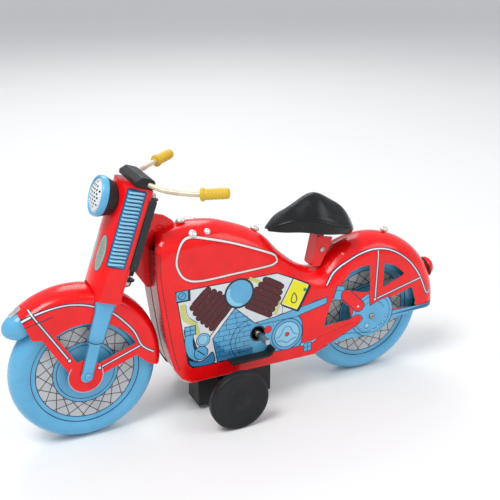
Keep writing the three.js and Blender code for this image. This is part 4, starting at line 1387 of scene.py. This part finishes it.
def clinched_axle(name, node, body, place, half, ink):
    """An axle whose ends are spread into low heads with a punched dimple."""
    end = [(0, half + 0.35), (0.5, half + 0.5), (0.8, half + 0.8), (1.2, half + 0.6), (1.5, half + 0.3),
           (1.55, half + 0.05), (1.2, half)]
    mesh = lathe(name, [*end, *((r, -y) for r, y in reversed(end))], ink, place, 32)
    return piece(mesh, body, "steel", node)


fender_lamp()
tail_lamp()
seam_tabs()
tank_caps()
clinched_axle("rear_rivet_axle", "rear_axle", "body", REAR_FRAME, BODY_HALF + 0.3, DULL_TIN)
clinched_axle("front_rivet_axle", "front_axle", "fork", FRONT_FRAME, 9.75, BLUE)


# ---- saddle ----

# Along the saddle from nose to tail: half width, and the heights of the skirt, the ridge and the crest.
SADDLE = [
    (0, 2, 83.5, 84.5, 85), (0.12, 5.5, 83, 87.5, 88.5), (0.34, 9.5, 82.5, 89.5, 94.5),
    (0.54, 12.5, 81, 88, 98.5), (0.76, 12.5, 79.5, 84.5, 94), (0.92, 9.5, 78, 82, 88.5),
    (1, 5, 77.5, 80, 83.5),
]
SADDLE_NOSE = -53.5
SADDLE_TAIL = -9


def saddle_ring(t, half, low, ridge, high):
    """One crosswise ring: a skirt that leans out to a ridge, a lip, and a hump that rises from a shelf."""
    x = SADDLE_NOSE + (SADDLE_TAIL - SADDLE_NOSE) * t
    lip = min(1, 0.55 * (ridge - low))
    skirt = [(0, low + lip), (0.8, low + lip), (0.86, low), (0.93, low + 0.3 * (ridge - low))]
    roll = [(0.985, ridge - 1.7 * lip), (1, ridge - 1.1 * lip), (0.985, ridge - 0.55 * lip),
            (0.945, ridge - 0.15 * lip), (0.9, ridge + 0.05 * lip)]
    right = [(share * half, z) for share, z in skirt + roll]
    for share in np.linspace(0.1, 0.94, 13):
        rise = math.sin(share * math.pi / 2) ** 1.35
        right.append((0.97 * half * (1 - share), ridge + (high - ridge) * rise))
    left = [(-y, z) for y, z in reversed(right[1:])]
    return [Vector((x, y, z)) for y, z in [*right, (0, high), *left]]


def saddle():
    rows = np.array(SADDLE)
    slopes = np.gradient(rows[:, 1:], rows[:, 0], axis=0)
    rings = []
    for t in np.sin(np.linspace(0, math.pi / 2, 48)):
        k = min(len(rows) - 2, int(np.searchsorted(rows[:, 0], t, "right")) - 1)
        width = rows[k + 1, 0] - rows[k, 0]
        u = (t - rows[k, 0]) / width
        value = (2 * u ** 3 - 3 * u ** 2 + 1) * rows[k, 1:] + (3 * u ** 2 - 2 * u ** 3) * rows[k + 1, 1:]
        value += width * ((u ** 3 - 2 * u ** 2 + u) * slopes[k] + (u ** 3 - u ** 2) * slopes[k + 1])
        rings.append(saddle_ring(t, *value))
    mesh = loft("saddle", rings, SEAT_BLACK, BODY_FRAME, 42)
    return piece(mesh, "body", "seat_plastic", "seat")


def saddle_post():
    outline = [(-31, 62.6), (-26.4, 62), (-19.8, 76), (-27.8, 77.6)]
    for side in (-1, 1):
        hand = HANDS[side]
        cheek = slab(f"saddle_post_{hand}", [rounded(outline, 0.8)], -4, -3.2, RED, BODY_FRAME, side=side)
        nodes = ["seat_post"] if side < 0 else []
        soften(piece(cheek, "body", "red_tin", *nodes), 0.2)
        screw = lathe(f"saddle_screw_{hand}", dome_profile(1.3, 0, 0.7), STEEL,
                      at(BODY_FRAME, -25.6, side * 3.95, 70.5) @ turned(0 if side > 0 else 180, "Z"), 28)
        piece(screw, "body", "steel")
    front = [(-31, 62.6), (-27.8, 77.6), (-27, 77.4), (-30.2, 62.5)]
    web = slab("saddle_post_web", [front], -3.2, 3.2, RED, BODY_FRAME)
    soften(piece(web, "body", "red_tin"), 0.15)


saddle()
saddle_post()


# ---- motor and low wheels ----

MOTOR_FRONT, MOTOR_BACK, MOTOR_BOTTOM = -92, -54, 2.3


def motor_plates():
    outline = [(MOTOR_FRONT, MOTOR_BOTTOM), (MOTOR_BACK, MOTOR_BOTTOM), (MOTOR_BACK, 24), (-47.4, 28),
               (-47.4, 53), (-89, 53), (MOTOR_FRONT, 50)]
    pivots = ((ARBOR, 1.8), (DRIVE, 1.5), (joint_at("intermediate_spin"), 1.3))
    holes = [circle(place.x - REAR.x, place.z, radius, 24) for place, radius in pivots]
    for side in (-1, 1):
        hand = HANDS[side]
        mesh = slab(f"motor_side_{hand}", [outline], -6.5, -5.7, BLACK_PAINT, BODY_FRAME, holes, side)
        soften(piece(mesh, "body", "black_tin", f"motor_plate_{hand}"), 0.2)


def motor_cover():
    front, back = MOTOR_FRONT, MOTOR_BACK
    outer = [(front, 24), (front, MOTOR_BOTTOM), (back, MOTOR_BOTTOM), (back, 22)]
    inner = [(back - SHEET, 22), (back - SHEET, MOTOR_BOTTOM + SHEET), (front + SHEET, MOTOR_BOTTOM + SHEET),
             (front + SHEET, 24)]
    mesh = slab("motor_channel", [outer + inner], -5.4, 5.4, BLACK_PAINT, BODY_FRAME)
    soften(piece(mesh, "body", "black_tin", "motor_cover"), 0.25)


def winding_shaft():
    """The shaft's squared end, with its corners taken off, and its round part inside."""
    half = 1.15
    rings = []
    for y, size in ((-22, half - 0.35), (-21.65, half), (-12.6, half)):
        rings.append([Vector((x * size, y, z * size)) for x, z in ((-1, -1), (1, -1), (1, 1), (-1, 1))])
    square = loft("winding_square", rings, STEEL, Matrix.Translation(ARBOR), 20)
    soften(piece(square, "winding_shaft", "steel", "winding_arbor"), 0.12)
    profile = [(0, -12.6), (1.3, -12.6), (1.5, -12.3), (1.5, 5.4), (1.3, 5.6), (0, 5.6)]
    shaft = lathe("winding_round", profile, STEEL, Matrix.Translation(ARBOR), 32)
    piece(shaft, "winding_shaft", "steel")


def footboard(side):
    outline = [(-79, 26.4), (-60, 26.4), (-58.4, 27.2), (-56.4, 30), (-57.4, 30.8), (-59.4, 28.2),
               (-60.6, 27.6), (-79, 27.6)]
    hand = HANDS[side]
    mesh = slab(f"foot_plate_{hand}", [outline], -17, -11.7, BLACK_PAINT, BODY_FRAME, side=side)
    return soften(piece(mesh, "body", "black_tin", f"footboard_{hand}"), 0.35)


def drive_wheel(side):
    """A moulded wheel with a rounded tread, a dished face and a raised boss."""
    sleeve = [(0, 28.3), (1.5, 28.2), (1.5, 19.6), (3.7, 19.6), (4, 19.9), (4, 24.6)]
    tread = [(12.6, 24.6), (13.8, 25), (14.4, 25.8), (14.4, 28.2), (14, 29), (13.2, 29.4), (12.4, 29.3)]
    face = [(11.8, 28.9), (5.2, 28.7), (4.4, 28.8), (3.8, 29.2), (0, 29.3)]
    profile = [*sleeve, *tread, *face]
    hand = HANDS[side]
    mesh = lathe(f"low_wheel_{hand}", [(r, side * y) for r, y in profile], TYRE_BLACK,
                 Matrix.Translation(DRIVE), 72, sharp=50)
    return piece(mesh, "drive_wheels", "tyre_plastic", f"drive_wheel_{hand}")


motor_plates()
motor_cover()
winding_shaft()
for side in (-1, 1):
    footboard(side)
    drive_wheel(side)


# ---- CAD nodes that stay: the clockwork inside ----

KEPT = {
    STEEL: ["mainspring", "click", "intermediate_arbor", "intermediate_pinion", "drive_axle", "drive_pinion",
            *(f"motor_pillar_{k}" for k in (1, 2, 3, 4))],
    BRASS: ["great_wheel", "ratchet_wheel", "intermediate_gear"],
}
for metal, names in KEPT.items():
    for name in names:
        obj = frame["nodes"][name]
        obj.data.materials.clear()
        obj.data.materials.append(metal)


# ---- floor and light ----


def floor():
    """A round pale floor that curves up into a low wall all round."""
    ground = Shader("pale_floor")
    soft = ground.noise(3, 3)
    ground.link(ground.blend(soft, (0.82, 0.82, 0.81), (0.86, 0.86, 0.85)), "Base Color")
    ground.set(Roughness=0.8, Specular_IOR_Level=0.2)
    flat, bend, top = 1600, 800, 1000
    angles = np.linspace(0, math.pi / 2, 17)
    sweep_up = [(flat + bend * math.sin(a), bend * (1 - math.cos(a))) for a in angles]
    mesh = lathe("floor", [(0, 0), *sweep_up, (flat + bend, top)], ground.material, UPRIGHT, 96)
    obj = bpy.data.objects.new("floor", mesh)
    bpy.context.scene.collection.objects.link(obj)


def soft_light(name, place, size, power):
    """A square light aimed at the motorcycle."""
    data = bpy.data.lights.new(name, "AREA")
    data.size = size
    data.energy = power
    obj = bpy.data.objects.new(name, data)
    obj.location = place
    obj.rotation_euler = (Vector((0, 0, 0.05)) - Vector(place)).to_track_quat("-Z", "Y").to_euler()
    bpy.context.scene.collection.objects.link(obj)


def surroundings():
    world = bpy.data.worlds.new("studio")
    world.use_nodes = True
    background = world.node_tree.nodes["Background"]
    background.inputs["Color"].default_value = (0.92, 0.94, 1, 1)
    background.inputs["Strength"].default_value = 0.62
    bpy.context.scene.world = world
    bpy.context.scene.view_settings.view_transform = "Standard"


floor()
soft_light("key", (-0.45, -0.2, 0.85), 0.4, 5.5)
soft_light("fill", (0.6, -0.5, 0.6), 0.5, 2)
soft_light("back", (0.2, 0.7, 0.7), 0.5, 2.5)
surroundings()
